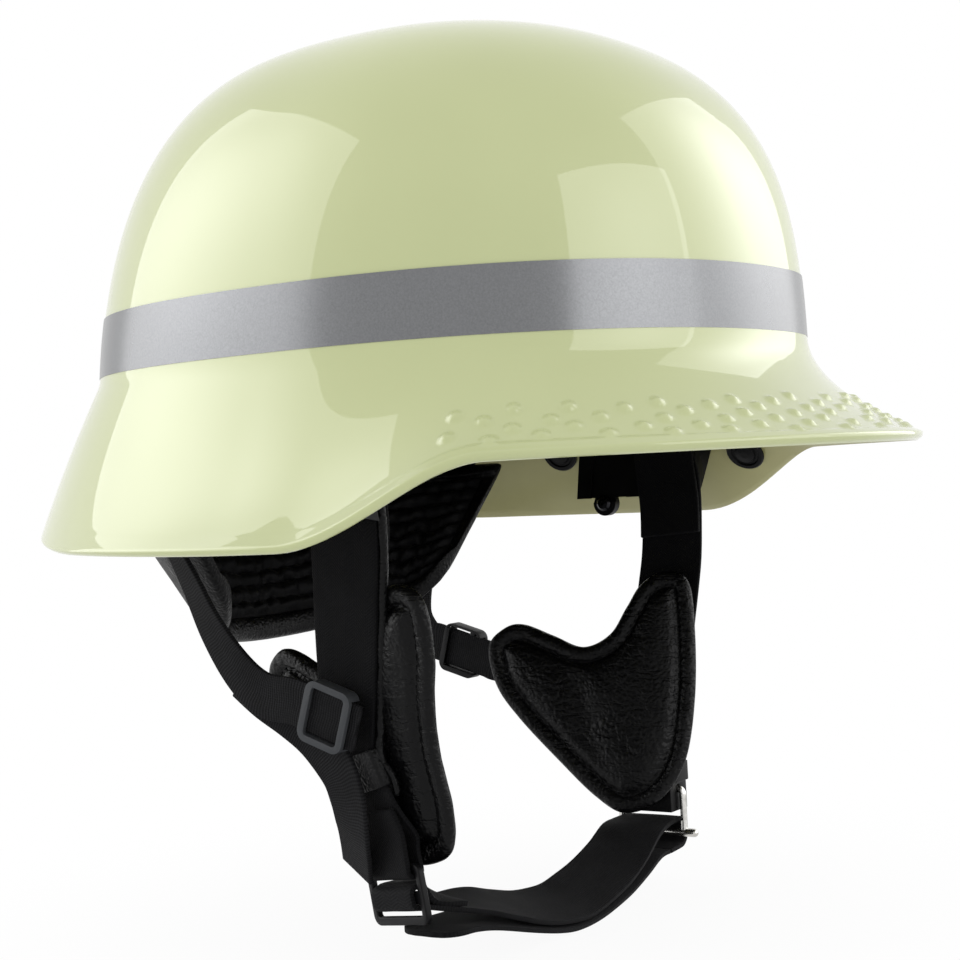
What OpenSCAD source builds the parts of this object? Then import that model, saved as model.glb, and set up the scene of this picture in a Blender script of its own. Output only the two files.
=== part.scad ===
// Fire helmet with a flared neck guard, a pearled front brim, a reflective band,
// an inner carrier, and a chin harness with two leather side pads.
// Z is up, the front faces -Y, and the wearer's right is -X.
// The origin is in the middle of the headband, level with the crease of the shell.

/* [Shell] */
// Half width of the shell at the crease above the flare
crease_half_w = 106.5; // [100:0.5:114]
// Length of the crease line in front of the origin
crease_front = 118.5; // [110:0.5:126]
// Length of the crease line behind the origin
crease_rear = 129.5; // [120:0.5:138]
// Height of the dome above the crease
dome_h = 112.5; // [106:0.5:122]
// Wall of the shell
shell_t = 3; // [2.4:0.1:3.6]
// How square the shell is in plan, 2 is an ellipse
plan_n = 2.3; // [2.1:0.05:2.6]

/* [Flare and brim] */
// Reach of the brim past the crease at the front
brim_reach = 41; // [34:0.5:48]
// Reach of the flare at the temples
temple_reach = 25.5; // [22:0.5:30]
// Reach of the flare over the ears
ear_reach = 29.4; // [25:0.2:34]
// Reach of the neck guard at the back
nape_reach = 22.7; // [18:0.1:28]
// Drop of the brim below the crease
brim_drop = 33.4; // [28:0.2:38]
// Drop of the neck guard below the crease at the sides
guard_drop = 56.6; // [50:0.2:62]
// Drop of the neck guard at the back
nape_drop = 49.6; // [44:0.2:58]

/* [Brim pearls] */
// Radius of a pressed pearl
pearl_r = 3.3; // [2.6:0.1:3.8]
// Height of a pressed pearl
pearl_h = 1.9; // [1.2:0.1:2.4]
// Distance of the outer row of pearls from the rim
pearl_edge = 5.5; // [4.5:0.1:7]
// Distance between two rows of one column
pearl_row = 6; // [5.4:0.1:7]
// Angle between two columns of pearls
pearl_step = 4; // [3.8:0.1:5]

/* [Reflective band] */
// Height of the band's lower edge above the crease
band_lift = 1.4; // [1:0.1:6]
// Width of the band
band_w = 20.4; // [16:0.2:26]
// Thickness of the band
band_t = 0.4; // [0.3:0.1:0.8]

/* [Carrier and headband] */
// Height of the carrier ring
carrier_h = 13; // [10:0.5:16]
// Thickness of the carrier ring
carrier_t = 3; // [2.4:0.1:4]
// Room between the headband and the crease at the sides
headband_side_room = 22.5; // [19:0.5:26]
// Room between the headband and the crease at the front
headband_front_room = 20.5; // [18:0.5:25]
// Room between the headband and the crease at the back
headband_rear_room = 21.5; // [18:0.5:25]
// Height of the headband
headband_h = 32; // [26:1:38]
// Thickness of the headband
headband_t = 2; // [1.6:0.1:2.6]
// Thickness of the leather sweatband
sweatband_t = 2.6; // [2:0.1:3.4]

/* [Crown] */
// Height of the lowest crown strap at the top of the head
crown_h = 82; // [78:0.5:88]
// Width of a crown strap
crown_strap_w = 22; // [18:0.5:26]
// Thickness of a crown strap
crown_strap_t = 1.4; // [1.2:0.1:1.8]
// Radius of the crown pad
crown_pad_r = 36; // [30:0.5:42]
// Thickness of the crown pad
crown_pad_t = 7; // [5:0.5:9]

/* [Webbing] */
// Width of the front webbing
front_w = 25; // [23:0.5:25.5]
// Width of the rear webbing
rear_w = 14.8; // [13:0.2:15.6]
// Width of the webbing that joins the rear strap to the chin slider
join_w = 16; // [14:0.5:18]
// Width of the chin strap
chin_w = 23; // [21:0.5:23.5]
// Thickness of the webbing
web_t = 1.6; // [1.3:0.1:1.8]
// Clearance between webbing and what it runs through
web_gap = 0.4; // [0.3:0.05:0.5]

/* [Sliders] */
// Length of a rear slider along the webbing
slider_l = 19; // [17:0.5:21]
// Width of a slider's side rail
rail_w = 2.2; // [1.8:0.1:2.6]
// Width of a slider's cross bar
bar_w = 2.6; // [2.2:0.1:3]
// Thickness of a slider's cross bar
bar_t = 1.5; // [1.2:0.1:1.8]
// Width of the chin slider
chin_slider_w = 31; // [30:0.2:33]
// Thickness of the chin slider
chin_slider_t = 2.2; // [1.8:0.1:2.4]

/* [Side pads] */
// Thickness of a side pad at its crown
pad_t = 9; // [7:0.5:9.5]
// Thickness of the piped edge
pad_edge_t = 5; // [4:0.5:6]

/* [Nape pad] */
// Half width of the nape pad's lower edge
nape_low_half_w = 56; // [52:0.5:60]
// Half width of the nape pad's upper edge
nape_top_half_w = 95; // [92:0.5:96]
// Depth of the nape pad's middle below the crease
nape_low_z = 96; // [90:0.5:100]
// Thickness of the nape pad
nape_pad_t = 7; // [6:0.5:8]

/* [Ring and end block] */
// Diameter of the ring's wire
wire_d = 2.6; // [2.2:0.1:3]
// Height of the ring between the middles of its bars
ring_h = 16.6; // [16:0.2:17.4]
// Width of the end block
block_w = 27; // [26:0.5:28]
// Thickness of the end block
block_t = 12.6; // [11:0.2:13]
// Height of the end block
block_h = 18; // [16:0.5:20]

/* [Hidden] */
$fn = 48;

// General shape functions

function mix(a, b, t) = a + (b - a) * t;
function ease(t) = let (u = min(max(t, 0), 1)) u * u * (3 - 2 * u);
function unit(v) = v / norm(v);
function signed_pow(v, e) = sign(v) * pow(abs(v), e);
function fold(th) = let (t = th - 360 * floor(th / 360)) t > 180 ? 360 - t : t;

// A value that eases from one [angle, value] station to the next
function stations(list, x, i = 0) =
    i >= len(list) - 1 ? list[len(list) - 1][1]
    : x <= list[i + 1][0]
    ? mix(list[i][1], list[i + 1][1], ease((x - list[i][0]) / (list[i + 1][0] - list[i][0])))
    : stations(list, x, i + 1);

// A smooth open curve through points, with n steps between two of them
function spline_at(a, b, c, d, t) =
    0.5 * (2 * b + (c - a) * t + (2 * a - 5 * b + 4 * c - d) * t * t
    + (3 * b - a - 3 * c + d) * t * t * t);
function curve(p, n = 4) = let (m = len(p) - 1)
    [for (i = [0 : m - 1]) for (k = [0 : n - 1])
        spline_at(p[max(i - 1, 0)], p[i], p[i + 1], p[min(i + 2, m)], k / n), p[m]];
function closed_curve(p, n = 3) = let (m = len(p))
    [for (i = [0 : m - 1]) for (k = [0 : n - 1])
        spline_at(p[(i + m - 1) % m], p[i], p[(i + 1) % m], p[(i + 2) % m], k / n)];
function along(p, i) = unit(p[min(i + 1, len(p) - 1)] - p[max(i - 1, 0)]);

// A closed skin over rings of points, each end closed to a tip
module skin(rings, tip_a, tip_b) {
    m = len(rings[0]);
    n = len(rings);
    last = n * m + 1;
    points = concat([tip_a], [for (r = rings) each r], [tip_b]);
    faces = concat(
        [for (k = [0 : m - 1]) [0, 1 + k, 1 + (k + 1) % m]],
        [for (i = [0 : n - 2]) for (k = [0 : m - 1])
            let (a = 1 + i * m + k, b = 1 + i * m + (k + 1) % m)
            each [[a, a + m, b + m], [a, b + m, b]]],
        [for (k = [0 : m - 1]) [last, last - m + (k + 1) % m, last - m + k]]);
    polyhedron(points, faces, convexity = 8);
}

// A flat strap swept along a path, with the direction it faces at each point.
// Its width eases from w to w_end over the first half, where that is given
function strap_rings(path, facing, w, t, w_end) = let (last = len(path) - 1)
    [for (i = [0 : last])
        let (run = along(path, i), n = unit(facing[i] - run * (facing[i] * run)),
            half = (is_undef(w_end) ? w : mix(w, w_end, ease(2 * i / last))) / 2,
            a = cross(n, run) * half, h = n * t / 2, c = path[i])
        [c + a + h, c - a + h, c - a - h, c + a - h]];
module strap(path, facing, w, t, w_end) {
    skin(strap_rings(path, facing, w, t, w_end), path[0], path[len(path) - 1]);
}
// A route is a list of [point, facing]
module routed_strap(route, w, t, n = 4, w_end) {
    strap(curve([for (r = route) r[0]], n), curve([for (r = route) r[1]], n), w, t, w_end);
}

// Puts a child at p with its X along run and its Y along side
module set_at(p, run, side) {
    x = unit(run);
    z = unit(cross(run, side));
    y = cross(z, x);
    multmatrix([[x[0], y[0], z[0], p[0]], [x[1], y[1], z[1], p[1]],
        [x[2], y[2], z[2], p[2]], [0, 0, 0, 1]]) children();
}

function rounded_rect(w, h, r, n = 4) =
    [for (c = [[1, 1, 0], [-1, 1, 90], [-1, -1, 180], [1, -1, 270]]) for (k = [0 : n])
        [c[0] * (w / 2 - r) + r * cos(c[2] + 90 * k / n),
            c[1] * (h / 2 - r) + r * sin(c[2] + 90 * k / n)]];

// Form of the shell

reach_stations = [[0, brim_reach], [50, temple_reach], [86, ear_reach], [150, nape_reach]];
drop_stations = [[0, brim_drop], [56, brim_drop], [82, guard_drop], [115, guard_drop],
    [160, nape_drop]];
dome_root = 23.5;
front_weight = [0.078, 0.503];
side_weight = [0.306, 0.687];
rear_weight = [0.717, 0.49];

function half_len(th) = cos(th) > 0 ? crease_front : crease_rear;
function plan_pt(th) =
    [-crease_half_w * signed_pow(sin(th), 2 / plan_n),
        -half_len(th) * signed_pow(cos(th), 2 / plan_n)];
function plan_normal(th) = let (p = plan_pt(th),
    nx = signed_pow(p[0] / crease_half_w, plan_n - 1) / crease_half_w,
    ny = signed_pow(p[1] / half_len(th), plan_n - 1) / half_len(th)) unit([nx, ny]);
function plan_offset(d, step = 5) =
    [for (th = [0 : step : 360 - step]) plan_pt(th) + plan_normal(th) * d];

// Share of the crease outline that is left at a height in the dome
function dome_share(th, z) = let (q = 2.83 + 0.94 * cos(th), p = 3.04 - 0.6 * cos(th),
    t = (z + dome_root) / (dome_h + dome_root), t0 = dome_root / (dome_h + dome_root))
    pow(max(1 - pow(t, q), 0) / (1 - pow(t0, q)), 1 / p);
function dome_pt(th, z) = let (p = plan_pt(th) * dome_share(th, z)) [p[0], p[1], z];

// The flare is a quadratic curve whose middle weights change round the shell
function flare_weight(th) = let (c = cos(th), f = max(c, 0), r = max(-c, 0))
    front_weight * f + rear_weight * r + side_weight * (1 - f - r);
function flare_reach(th) = stations(reach_stations, fold(th));
function flare_drop(th) = stations(drop_stations, fold(th));
function flare_pt(th, s) = let (w = flare_weight(th), b = 2 * s * (1 - s),
    o = flare_reach(th) * (b * w[0] + s * s), h = flare_drop(th) * (b * w[1] + s * s),
    p = plan_pt(th) + plan_normal(th) * o) [p[0], p[1], -h];

// A row is [height in the dome, share of the flare]
function shell_pt(th, row) = row[1] > 0 ? flare_pt(th, row[1]) : dome_pt(th, row[0]);
function shell_normal(th, row) =
    let (down = row[1] > 0
            ? flare_pt(th, row[1]) - flare_pt(th, row[1] - 0.02)
            : dome_pt(th, row[0] - 0.4) - dome_pt(th, row[0]),
        around = shell_pt(th + 0.5, row) - shell_pt(th - 0.5, row))
    unit(cross(around, down));

shell_step = 5;
dome_rows = 11;
band_top = band_lift + band_w;
upper_rows = [for (k = [1 : dome_rows])
    [dome_h - (dome_h - band_top) * pow(k / dome_rows, 2.6), 0]];
outer_rows = concat(upper_rows, [[band_lift, 0], [0, 0]],
    [for (s = [0.16, 0.32, 0.48, 0.62, 0.76, 0.89, 1]) [0, s]]);
inner_rows = concat([for (s = [1, 0.8, 0.55, 0.3]) [0, s]], [[0, 0]],
    [for (k = [dome_rows : -2 : 1]) upper_rows[k - 1]]);

function shell_ring(row, depth) =
    [for (th = [0 : shell_step : 360 - shell_step])
        shell_pt(th, row) - shell_normal(th, row) * depth];

// Share of the flare at a distance from the rim
function share_from_rim(th, d) = let (c = flare_weight(th)[0], k = 1 - d / flare_reach(th))
    (sqrt(c * c + (1 - 2 * c) * k) - c) / (1 - 2 * c);

module pearl(th, d) {
    row = [0, share_from_rim(th, d)];
    n = shell_normal(th, row);
    run = cross(n, [0, 0, 1]);
    set_at(shell_pt(th, row), run, cross(n, run))
        hull() {
            translate([0, 0, -1]) cylinder(h = 1, r = pearl_r, $fn = 7);
            translate([0, 0, pearl_h - 0.3]) cylinder(h = 0.3, r = pearl_r * 0.45, $fn = 7);
        }
}

module shell() {
    color("#d6dea6") union() {
        skin(concat([for (r = outer_rows) shell_ring(r, 0)],
                [for (r = inner_rows) shell_ring(r, shell_t)]),
            [0, 0, dome_h], [0, 0, dome_h - shell_t]);
        for (j = [-15 : 15]) {
            first = pearl_edge + (j % 2 == 0 ? 0 : pearl_row / 2);
            room = flare_reach(j * pearl_step) * 0.62;
            for (d = [first : pearl_row : room]) pearl(j * pearl_step, d);
        }
    }
}

// A closed loop of equal sections, joined end to end
module loop_skin(sections) {
    m = len(sections[0]);
    n = len(sections);
    points = [for (r = sections) each r];
    faces = [for (i = [0 : n - 1]) for (k = [0 : m - 1])
        let (a = i * m + k, b = i * m + (k + 1) % m,
            c = ((i + 1) % n) * m + (k + 1) % m, d = ((i + 1) % n) * m + k)
        each [[a, c, b], [a, d, c]]];
    polyhedron(points, faces, convexity = 8);
}

module reflective_band() {
    color("#b9bbbd") loop_skin([for (th = [0 : shell_step : 360 - shell_step])
        let (top = [band_top, 0], low = [band_lift, 0])
        [shell_pt(th, top), shell_pt(th, low),
            shell_pt(th, low) + shell_normal(th, low) * band_t,
            shell_pt(th, top) + shell_normal(th, top) * band_t]]);
}

// Carrier, headband and crown

carrier_z = -carrier_h;
carrier_out = -shell_t - 0.5;
headband_half_w = crease_half_w - headband_side_room;
headband_half_l = (crease_front + crease_rear - headband_front_room - headband_rear_room) / 2;
headband_back = (crease_rear - headband_rear_room - crease_front + headband_front_room) / 2;

module carrier_ring() {
    color("#2c2d2f") translate([0, 0, carrier_z]) linear_extrude(carrier_h) difference() {
        polygon(plan_offset(carrier_out));
        polygon(plan_offset(carrier_out - carrier_t));
    }
}

headband_low = -6;
module headband() {
    color("#252628") translate([0, headband_back, headband_low]) linear_extrude(headband_h)
        difference() {
            scale([headband_half_w, headband_half_l]) circle(1, $fn = 72);
            scale([headband_half_w - headband_t, headband_half_l - headband_t])
                circle(1, $fn = 72);
        }
}

module sweatband() {
    a = headband_half_w - headband_t;
    b = headband_half_l - headband_t;
    color("#3a2d24") translate([0, headband_back, headband_low + 1])
        linear_extrude(headband_h - 2) difference() {
            scale([a, b]) circle(1, $fn = 72);
            scale([a - sweatband_t, b - sweatband_t]) circle(1, $fn = 72);
            translate([0, b + 20]) square([4 * a, b * 1.6 + 40], center = true);
        }
}

// Hangers bridge the gap between the carrier ring and the headband
hanger_angles = [36, 90, 144, 216, 270, 324];
hanger_gap = 0.3;
hanger_t = 1.8;
function band_pt(a, d) = [-(headband_half_w + d) * sin(a),
    headband_back - (headband_half_l + d) * cos(a)];
function ring_pt(a, d) = plan_pt(a) + plan_normal(a) * (carrier_out - carrier_t - d);
module hanger_piece(a, low, h, near, far) {
    fan = [-5 : 2.5 : 5];
    translate([0, 0, low]) linear_extrude(h) polygon(concat(
        [for (t = fan) near[0] == 0 ? band_pt(a + t, near[1]) : ring_pt(a + t, near[1])],
        [for (t = fan) far[0] == 0 ? band_pt(a - t, far[1]) : ring_pt(a - t, far[1])]));
}
module headband_hangers() {
    color("#2c2d2f") for (a = hanger_angles) {
        hanger_piece(a, -5, 2.4, [0, hanger_gap], [1, hanger_gap]);
        hanger_piece(a, -5, 12, [0, hanger_gap], [0, hanger_gap + hanger_t]);
        hanger_piece(a, -11, 9, [1, hanger_gap + hanger_t], [1, hanger_gap]);
    }
}

// A crown strap arches from one side of the carrier ring to the other
module crown_strap(a, lift, inset) {
    ends = [for (t = [a, a + 180]) ring_pt(t, inset)];
    shape = [[0, -8], [0.02, 14], [0.1, 46], [0.27, 72], [0.5, crown_h + lift], [0.73, 72],
        [0.9, 46], [0.98, 14], [1, -8]];
    pts = curve([for (s = shape) let (p = mix(ends[0], ends[1], s[0])) [p[0], p[1], s[1]]], 3);
    run = ends[1] - ends[0];
    flat = [-run[1], run[0], 0];
    strap(pts, [for (i = [0 : len(pts) - 1]) cross(flat, along(pts, i))],
        crown_strap_w, crown_strap_t);
}
module crown_strap_middle() { color("#303234") crown_strap(0, 0, 1.1); }
module crown_strap_left() { color("#303234") crown_strap(60, crown_strap_t + 1.6, 3.4); }
module crown_strap_right() { color("#303234") crown_strap(120, 2 * crown_strap_t + 3.2, 3.4); }

crown_fall = 230;
module crown_pad() {
    low = crown_h - crown_strap_t / 2 - crown_pad_t - 0.8;
    color("#26272a") skin([for (r = [[0.7, 0], [0.95, 0.08], [1, 0.4], [0.95, 0.8], [0.7, 1]])
        [for (k = [0 : 23]) let (w = crown_pad_r * r[0] * (1 + 0.05 * cos(90 * k)))
            [-w * sin(15 * k), -w * cos(15 * k), low + crown_pad_t * (1 - r[1]) - w * w / crown_fall]]],
        [0, 0, low + crown_pad_t], [0, 0, low]);
}

// Anchors on the inner wall

function wall_pt(th, s, inset) = shell_pt(th, [0, s]) - shell_normal(th, [0, s]) * (shell_t + inset);
block_top_z = -22;
block_low_z = -51;
function block_face_x(z) = 106 + (z + 16) * 0.2;

// The block fills the space between the wall and the strap, and hangs a little below
module anchor_block() {
    rings = [for (th = [75 : 4 : 95]) let (y = plan_pt(th)[1])
        [[-block_face_x(block_top_z), y, block_top_z], [-block_face_x(block_low_z), y, block_low_z],
            [-block_face_x(block_low_z) - 6, y, block_low_z + 1], [-block_face_x(-44) - 9, y, -44],
            wall_pt(th, 0.54, -0.1), wall_pt(th, 0.44, -0.1), wall_pt(th, 0.36, -0.1)]];
    far_end = [for (r = rings) (r[0] + r[1] + r[3] + r[5]) / 4];
    difference() {
        union() {
            skin(rings, far_end[0], far_end[len(rings) - 1]);
            translate([-block_face_x(block_low_z) - 3.4, anchor_screw_y, block_low_z - 2])
                rotate([0, 90, 0]) cylinder(h = 3.4, r = 5);
        }
        translate([-block_face_x(-40) - 0.6, 1, -41]) rotate([0, 78.7, 0]) hull() {
            translate([-3, 0, 0]) cylinder(h = 4, r = 8);
            translate([9, -8, 0]) cube([3, 16, 4]);
        }
    }
    // The washer and the headed pin that the strap turns on
    translate([-block_face_x(pivot_z), pivot_y, pivot_z]) rotate([0, 90, 0]) {
        cylinder(h = block_face_x(pivot_z) - strap_x - web_t / 2 - 0.35, r = 5);
        cylinder(h = pivot_l, r = pivot_r);
        translate([0, 0, pivot_l]) cylinder(h = 1.4, r = 5.5);
    }
}
anchor_screw_y = 3;
pivot_y = -24;
pivot_z = -30;
strap_x = 99.6;
pivot_l = 9;
pivot_r = 3;
module pivot_hole(side) {
    translate([side * 90, pivot_y, pivot_z]) rotate([0, side * 90, 0])
        cylinder(h = 30, r = pivot_r + 0.4, $fn = 20);
}
module near_anchor_block() { color("#1f2022") anchor_block(); }
module far_anchor_block() { color("#1f2022") mirror([1, 0, 0]) anchor_block(); }

module button_form() {
    rotate_extrude() polygon([[0, 0.4], [3.6, 0.4], [3.9, 0.8], [7.5, 0.8], [7.5, 1.2], [6.9, 1.8],
        [5.6, 1.8], [5.2, 1.2], [4.2, 1.2], [3.8, 1.9], [1.6, 2.2], [0, 2.2]]);
}
module wall_studs() {
    color("#26272a") for (m = [0, 1]) mirror([m, 0, 0])
        for (a = [[100.7, 0.47], [69.3, 0.7]]) {
            n = -shell_normal(a[0], [0, a[1]]);
            run = cross(n, [0, 0, 1]);
            set_at(wall_pt(a[0], a[1], 0), run, cross(n, run)) button_form();
        }
}
module anchor_screws() {
    color("#b8b9bb") for (m = [0, 1]) mirror([m, 0, 0]) {
        translate([-block_face_x(block_low_z), anchor_screw_y, block_low_z - 2])
            rotate([0, 90, 0]) rotate_extrude()
                polygon([[0, 0], [3.1, 0], [3.1, 0.8], [2.2, 1.6], [0.8, 1.7], [0.8, 0.9], [0, 0.9]]);
    }
}

rear_anchor = [119.5, 0.3];
rear_plate_t = 3;
module rear_anchors() {
    color("#26272a") for (m = [0, 1]) mirror([m, 0, 0]) {
        n = -shell_normal(rear_anchor[0], [0, rear_anchor[1]]);
        run = cross(n, [0, 0, 1]);
        set_at(wall_pt(rear_anchor[0], rear_anchor[1], 0), run, cross(n, run)) {
            translate([0, 0, 1.3]) linear_extrude(rear_plate_t - 1.3)
                polygon(rounded_rect(20, 18, 4));
            translate([0, 0, 0.5]) cylinder(h = 1, r = 5);
            translate([0, 0, 0.5]) cylinder(h = rear_plate_t + web_t + 1.5, r = 3);
            translate([0, 0, rear_plate_t + web_t + 1.6]) cylinder(h = 1.4, r = 5.5);
        }
    }
}

// Nape pad: a curved cushion with a piped border and a quilted lining

nape_top_z = -35;
nape_low_ends = [54, 57, -84];
nape_low_back = 92;
nape_top_ends = 45;
nape_top_back = 126;
function nape_edge(f, b) = let (top = [nape_top_half_w * sin(f),
        mix(nape_top_ends, nape_top_back, cos(f)), nape_top_z],
    low = [nape_low_half_w * sin(f), mix(nape_low_ends[1], nape_low_back, cos(f)),
        mix(nape_low_ends[2], -nape_low_z, cos(f))])
    mix(top, low, b);
function nape_in(f, b) = unit(cross(nape_edge(f, 1) - nape_edge(f, 0),
    nape_edge(f + 1, b) - nape_edge(f - 1, b)));
function nape_pt(f, b, w) = nape_edge(f, b) + nape_in(f, b) * w;
nape_fan = 88;
nape_step = 8;
nape_form = [[0, 0], [0.05, 0.42], [0.11, 0.47], [0.15, 0.1], [0.5, 0.08], [0.85, 0.1],
    [0.89, 0.47], [0.95, 0.42], [1, 0], [0.93, -0.45], [0.5, -0.5], [0.07, -0.45]];
module nape_pad() {
    color("#1b1b1d") skin([for (f = [-nape_fan : nape_step : nape_fan])
        [for (q = nape_form) nape_pt(f, q[0], q[1] * nape_pad_t)]],
        nape_pt(-nape_fan, 0.5, 0), nape_pt(nape_fan, 0.5, 0));
}
// The lining is gathered in soft ridges that run round the neck
nape_ridges = 5;
function nape_lining_section(f) = concat(
    [for (k = [0 : 2 * nape_ridges]) let (b = mix(0.17, 0.83, k / (2 * nape_ridges)))
        nape_pt(f, b, nape_pad_t * (k % 2 == 0 ? 0.24 : 0.5))],
    [for (b = [0.83, 0.5, 0.17]) nape_pt(f, b, nape_pad_t * 0.115)]);
module nape_lining() {
    fan = nape_fan - 5;
    color("#2a2c30") skin([for (f = [-fan : fan / 10 : fan]) nape_lining_section(f)],
        nape_pt(-fan, 0.5, nape_pad_t * 0.2), nape_pt(fan, 0.5, nape_pad_t * 0.2));
}
// Tabs carry the nape pad from the carrier ring
module nape_tabs() {
    color("#26272a") for (a = [-58, 0, 58]) {
        q = nape_pt(a, -0.01, 0);
        th = 180 + a * 0.86;
        p = plan_pt(th) + plan_normal(th) * (carrier_out - carrier_t / 2);
        n = plan_normal(th);
        route = [[[p[0], p[1], carrier_z - 1.4], [n[0], n[1], 0]],
            [mix([p[0], p[1], carrier_z], q, 0.5) + [n[0], n[1], 0] * 2, [n[0], n[1], 0.1]],
            [q, [n[0], n[1], 0.2]]];
        routed_strap(route, 24, 1.8, 4);
    }
}

// The ring's place, which the end block and the chin strap follow

ring_c = [79.8, -22];
pin_z = -177.3;
pin_d = wire_d + 0.6;
ring_in = chin_w + 1;
leg_y = ring_in / 2 + wire_d / 2;
ring_top_z = pin_z + ring_h;
block_low = pin_z + 8.4;
bend_r = 2.2;
block_chamfer = 4.6;

// Harness routes, each point with the way the strap faces there

front_face = [-1, 0, -0.2];
far_face = [1, 0, -0.2];
lining_x = strap_x - web_t - 1.6;
near_front_route = [
    [[-strap_x, -22.5, -20], [-1, 0, 0]], [[-strap_x, -22.5, -30], [-1, 0, 0]],
    [[-strap_x, -22.4, -38], [-1, 0, -0.05]],
    [[-97.2, -21.5, -50], front_face], [[-90.5, -15.5, -72], [-1, 0.05, -0.25]],
    [[-83.2, -8.5, -96], [-0.99, 0.12, -0.2]], [[-79, -4.8, -112], [-0.98, 0.22, -0.1]],
    [[-77.6, -5.6, -127], [-0.93, 0.38, 0]], [[-76, -10.4, -139.5], [-0.92, 0.38, -0.05]]];
near_lining_route = [
    [[-lining_x, -24, -21], [-1, 0, 0]], [[-lining_x, -24.5, -38], [-1, 0, -0.05]],
    [[-93.4, -23, -50], [-1, 0.02, -0.25]], [[-89.9, -18.6, -66], [-1, 0.05, -0.25]]];
// Where the rear webbing carries on down to the chin slider, outside the front strap
near_join_route = [
    [[-85, 34, -100.5], [-0.99, 0.1, -0.03]], [[-84.4, 25.5, -106.5], [-1, 0.04, 0]],
    [[-83.2, 16, -112], [-1, 0, 0]], [[-82.4, 8, -117.5], [-1, 0.04, 0]],
    [[-82.8, 1.5, -123.5], [-0.99, 0.1, 0]], [[-83, -3.4, -130.5], [-0.985, 0.17, 0]],
    [[-82.4, -5.4, -138.5], [-0.98, 0.2, 0]], [[-80.8, -5.2, -147], [-0.96, 0.28, -0.1]],
    [[-77.4, -3.4, -155], [-0.94, 0.33, -0.15]], [[-73.8, -1, -162.5], [-0.94, 0.33, -0.1]]];
far_front_route = [
    [[strap_x, -24, -20], [1, 0, 0]], [[strap_x, -24.2, -30], [1, 0, 0]],
    [[strap_x, -25, -38], [1, 0, -0.05]],
    [[97.4, -28, -50], far_face], [[93.2, -28.8, -74], [1, 0.04, -0.2]],
    [[88.6, -26.5, -100], [1, 0.08, -0.2]], [[84.6, -24.5, -125], [1, 0.05, -0.18]],
    [[81.6, -22.6, -139.5], [1, 0, -0.1]],
    [[80.4, ring_c[1], block_low + block_h + 5], [1, 0, 0]],
    [[80.1, ring_c[1], block_low + block_h + 0.3], [1, 0, 0]]];
far_lining_route = [
    [[lining_x, -25, -21], [1, 0, 0]], [[lining_x, -26, -38], [1, 0, -0.05]],
    [[94.2, -28.5, -54], [1, 0, -0.22]], [[91.8, -29.5, -66], [1, 0, -0.2]]];

near_slider_c = [-87.6, -3.6, -111.3];
near_slider_run = unit([0, -0.95, -0.31]);
far_slider_c = [84, 64.5, -110];
far_slider_run = unit([0, -0.96, -0.28]);
rear_start = wall_pt(rear_anchor[0], rear_anchor[1], rear_plate_t + 0.8 + web_t / 2);
rear_face = shell_normal(rear_anchor[0], [0, rear_anchor[1]]);
rear_down = unit([0, 0, -1] + rear_face * rear_face[2]);
function flip(v) = [-v[0], v[1], v[2]];
function slider_stop(c, run, facing, list) = [for (d = list) [c + run * d, facing]];
near_rear_route = concat([
    [rear_start - rear_down * 8, rear_face], [rear_start, rear_face],
    [rear_start + rear_down * 7.5, rear_face], [[-98.6, 69.2, -36], [-0.86, 0.42, 0.2]],
    [[-96.6, 63.6, -43], [-0.84, 0.5, 0.05]], [[-93.2, 56.5, -52], [-0.82, 0.55, -0.05]], [[-90.4, 49.5, -67], [-0.87, 0.45, -0.1]],
    [[-88.6, 42, -84], [-0.93, 0.3, -0.1]], [[-87.6, 32.5, -97.5], [-0.98, 0.15, -0.05]],
    [[-87.4, 22.5, -105], [-1, 0.05, 0]]],
    slider_stop(near_slider_c, near_slider_run, [-1, 0, 0], [-13.5, 0, 6, 12]));
far_rear_route = concat([
    [flip(rear_start - rear_down * 8), flip(rear_face)], [flip(rear_start), flip(rear_face)],
    [flip(rear_start + rear_down * 7.5), flip(rear_face)], [[98.6, 73, -36], [0.88, 0.36, 0.2]],
    [[96, 76, -43.5], [0.92, 0.33, 0.08]], [[92.5, 79.5, -53], [0.95, 0.3, 0]], [[88.5, 87, -74], [1, 0.1, 0]],
    [[85, 88, -94], [1, 0, 0]]],
    slider_stop(far_slider_c, far_slider_run, [1, 0, 0], [-18, -12.5, 0, 12.5, 18]),
    [[[85.5, 20, -119.5], [1, 0.02, 0]], [[88.8, -16, -121], [1, 0.05, 0]]]);
module rear_hole(m) {
    mirror([m, 0, 0]) multmatrix([[1, 0, 0, rear_start[0]], [0, 1, 0, rear_start[1]],
        [0, 0, 1, rear_start[2]]]) rotate([0, 90, atan2(rear_face[1], rear_face[0])])
            cylinder(h = 20, r = 3.8, center = true, $fn = 20);
}

module near_front_strap() {
    color("#1c1d1f") difference() {
        routed_strap(concat(near_front_route, return_route), front_w, web_t);
        pivot_hole(-1);
    }
}
module near_front_strap_lining() {
    color("#17181a") difference() {
        routed_strap(near_lining_route, front_w, web_t);
        pivot_hole(-1);
    }
}
module far_front_strap() {
    color("#1c1d1f") difference() {
        routed_strap(far_front_route, front_w, web_t);
        pivot_hole(1);
    }
}
module far_front_strap_lining() {
    color("#17181a") difference() {
        routed_strap(far_lining_route, front_w, web_t);
        pivot_hole(1);
    }
}
module near_join_strap() {
    color("#202124") routed_strap(near_join_route, rear_w - 1, web_t, w_end = join_w);
}
module near_rear_strap() {
    color("#202124") difference() {
        routed_strap(near_rear_route, rear_w, web_t);
        rear_hole(0);
    }
}
module far_rear_strap() {
    color("#202124") difference() {
        routed_strap(far_rear_route, rear_w, web_t);
        rear_hole(1);
    }
}

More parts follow.
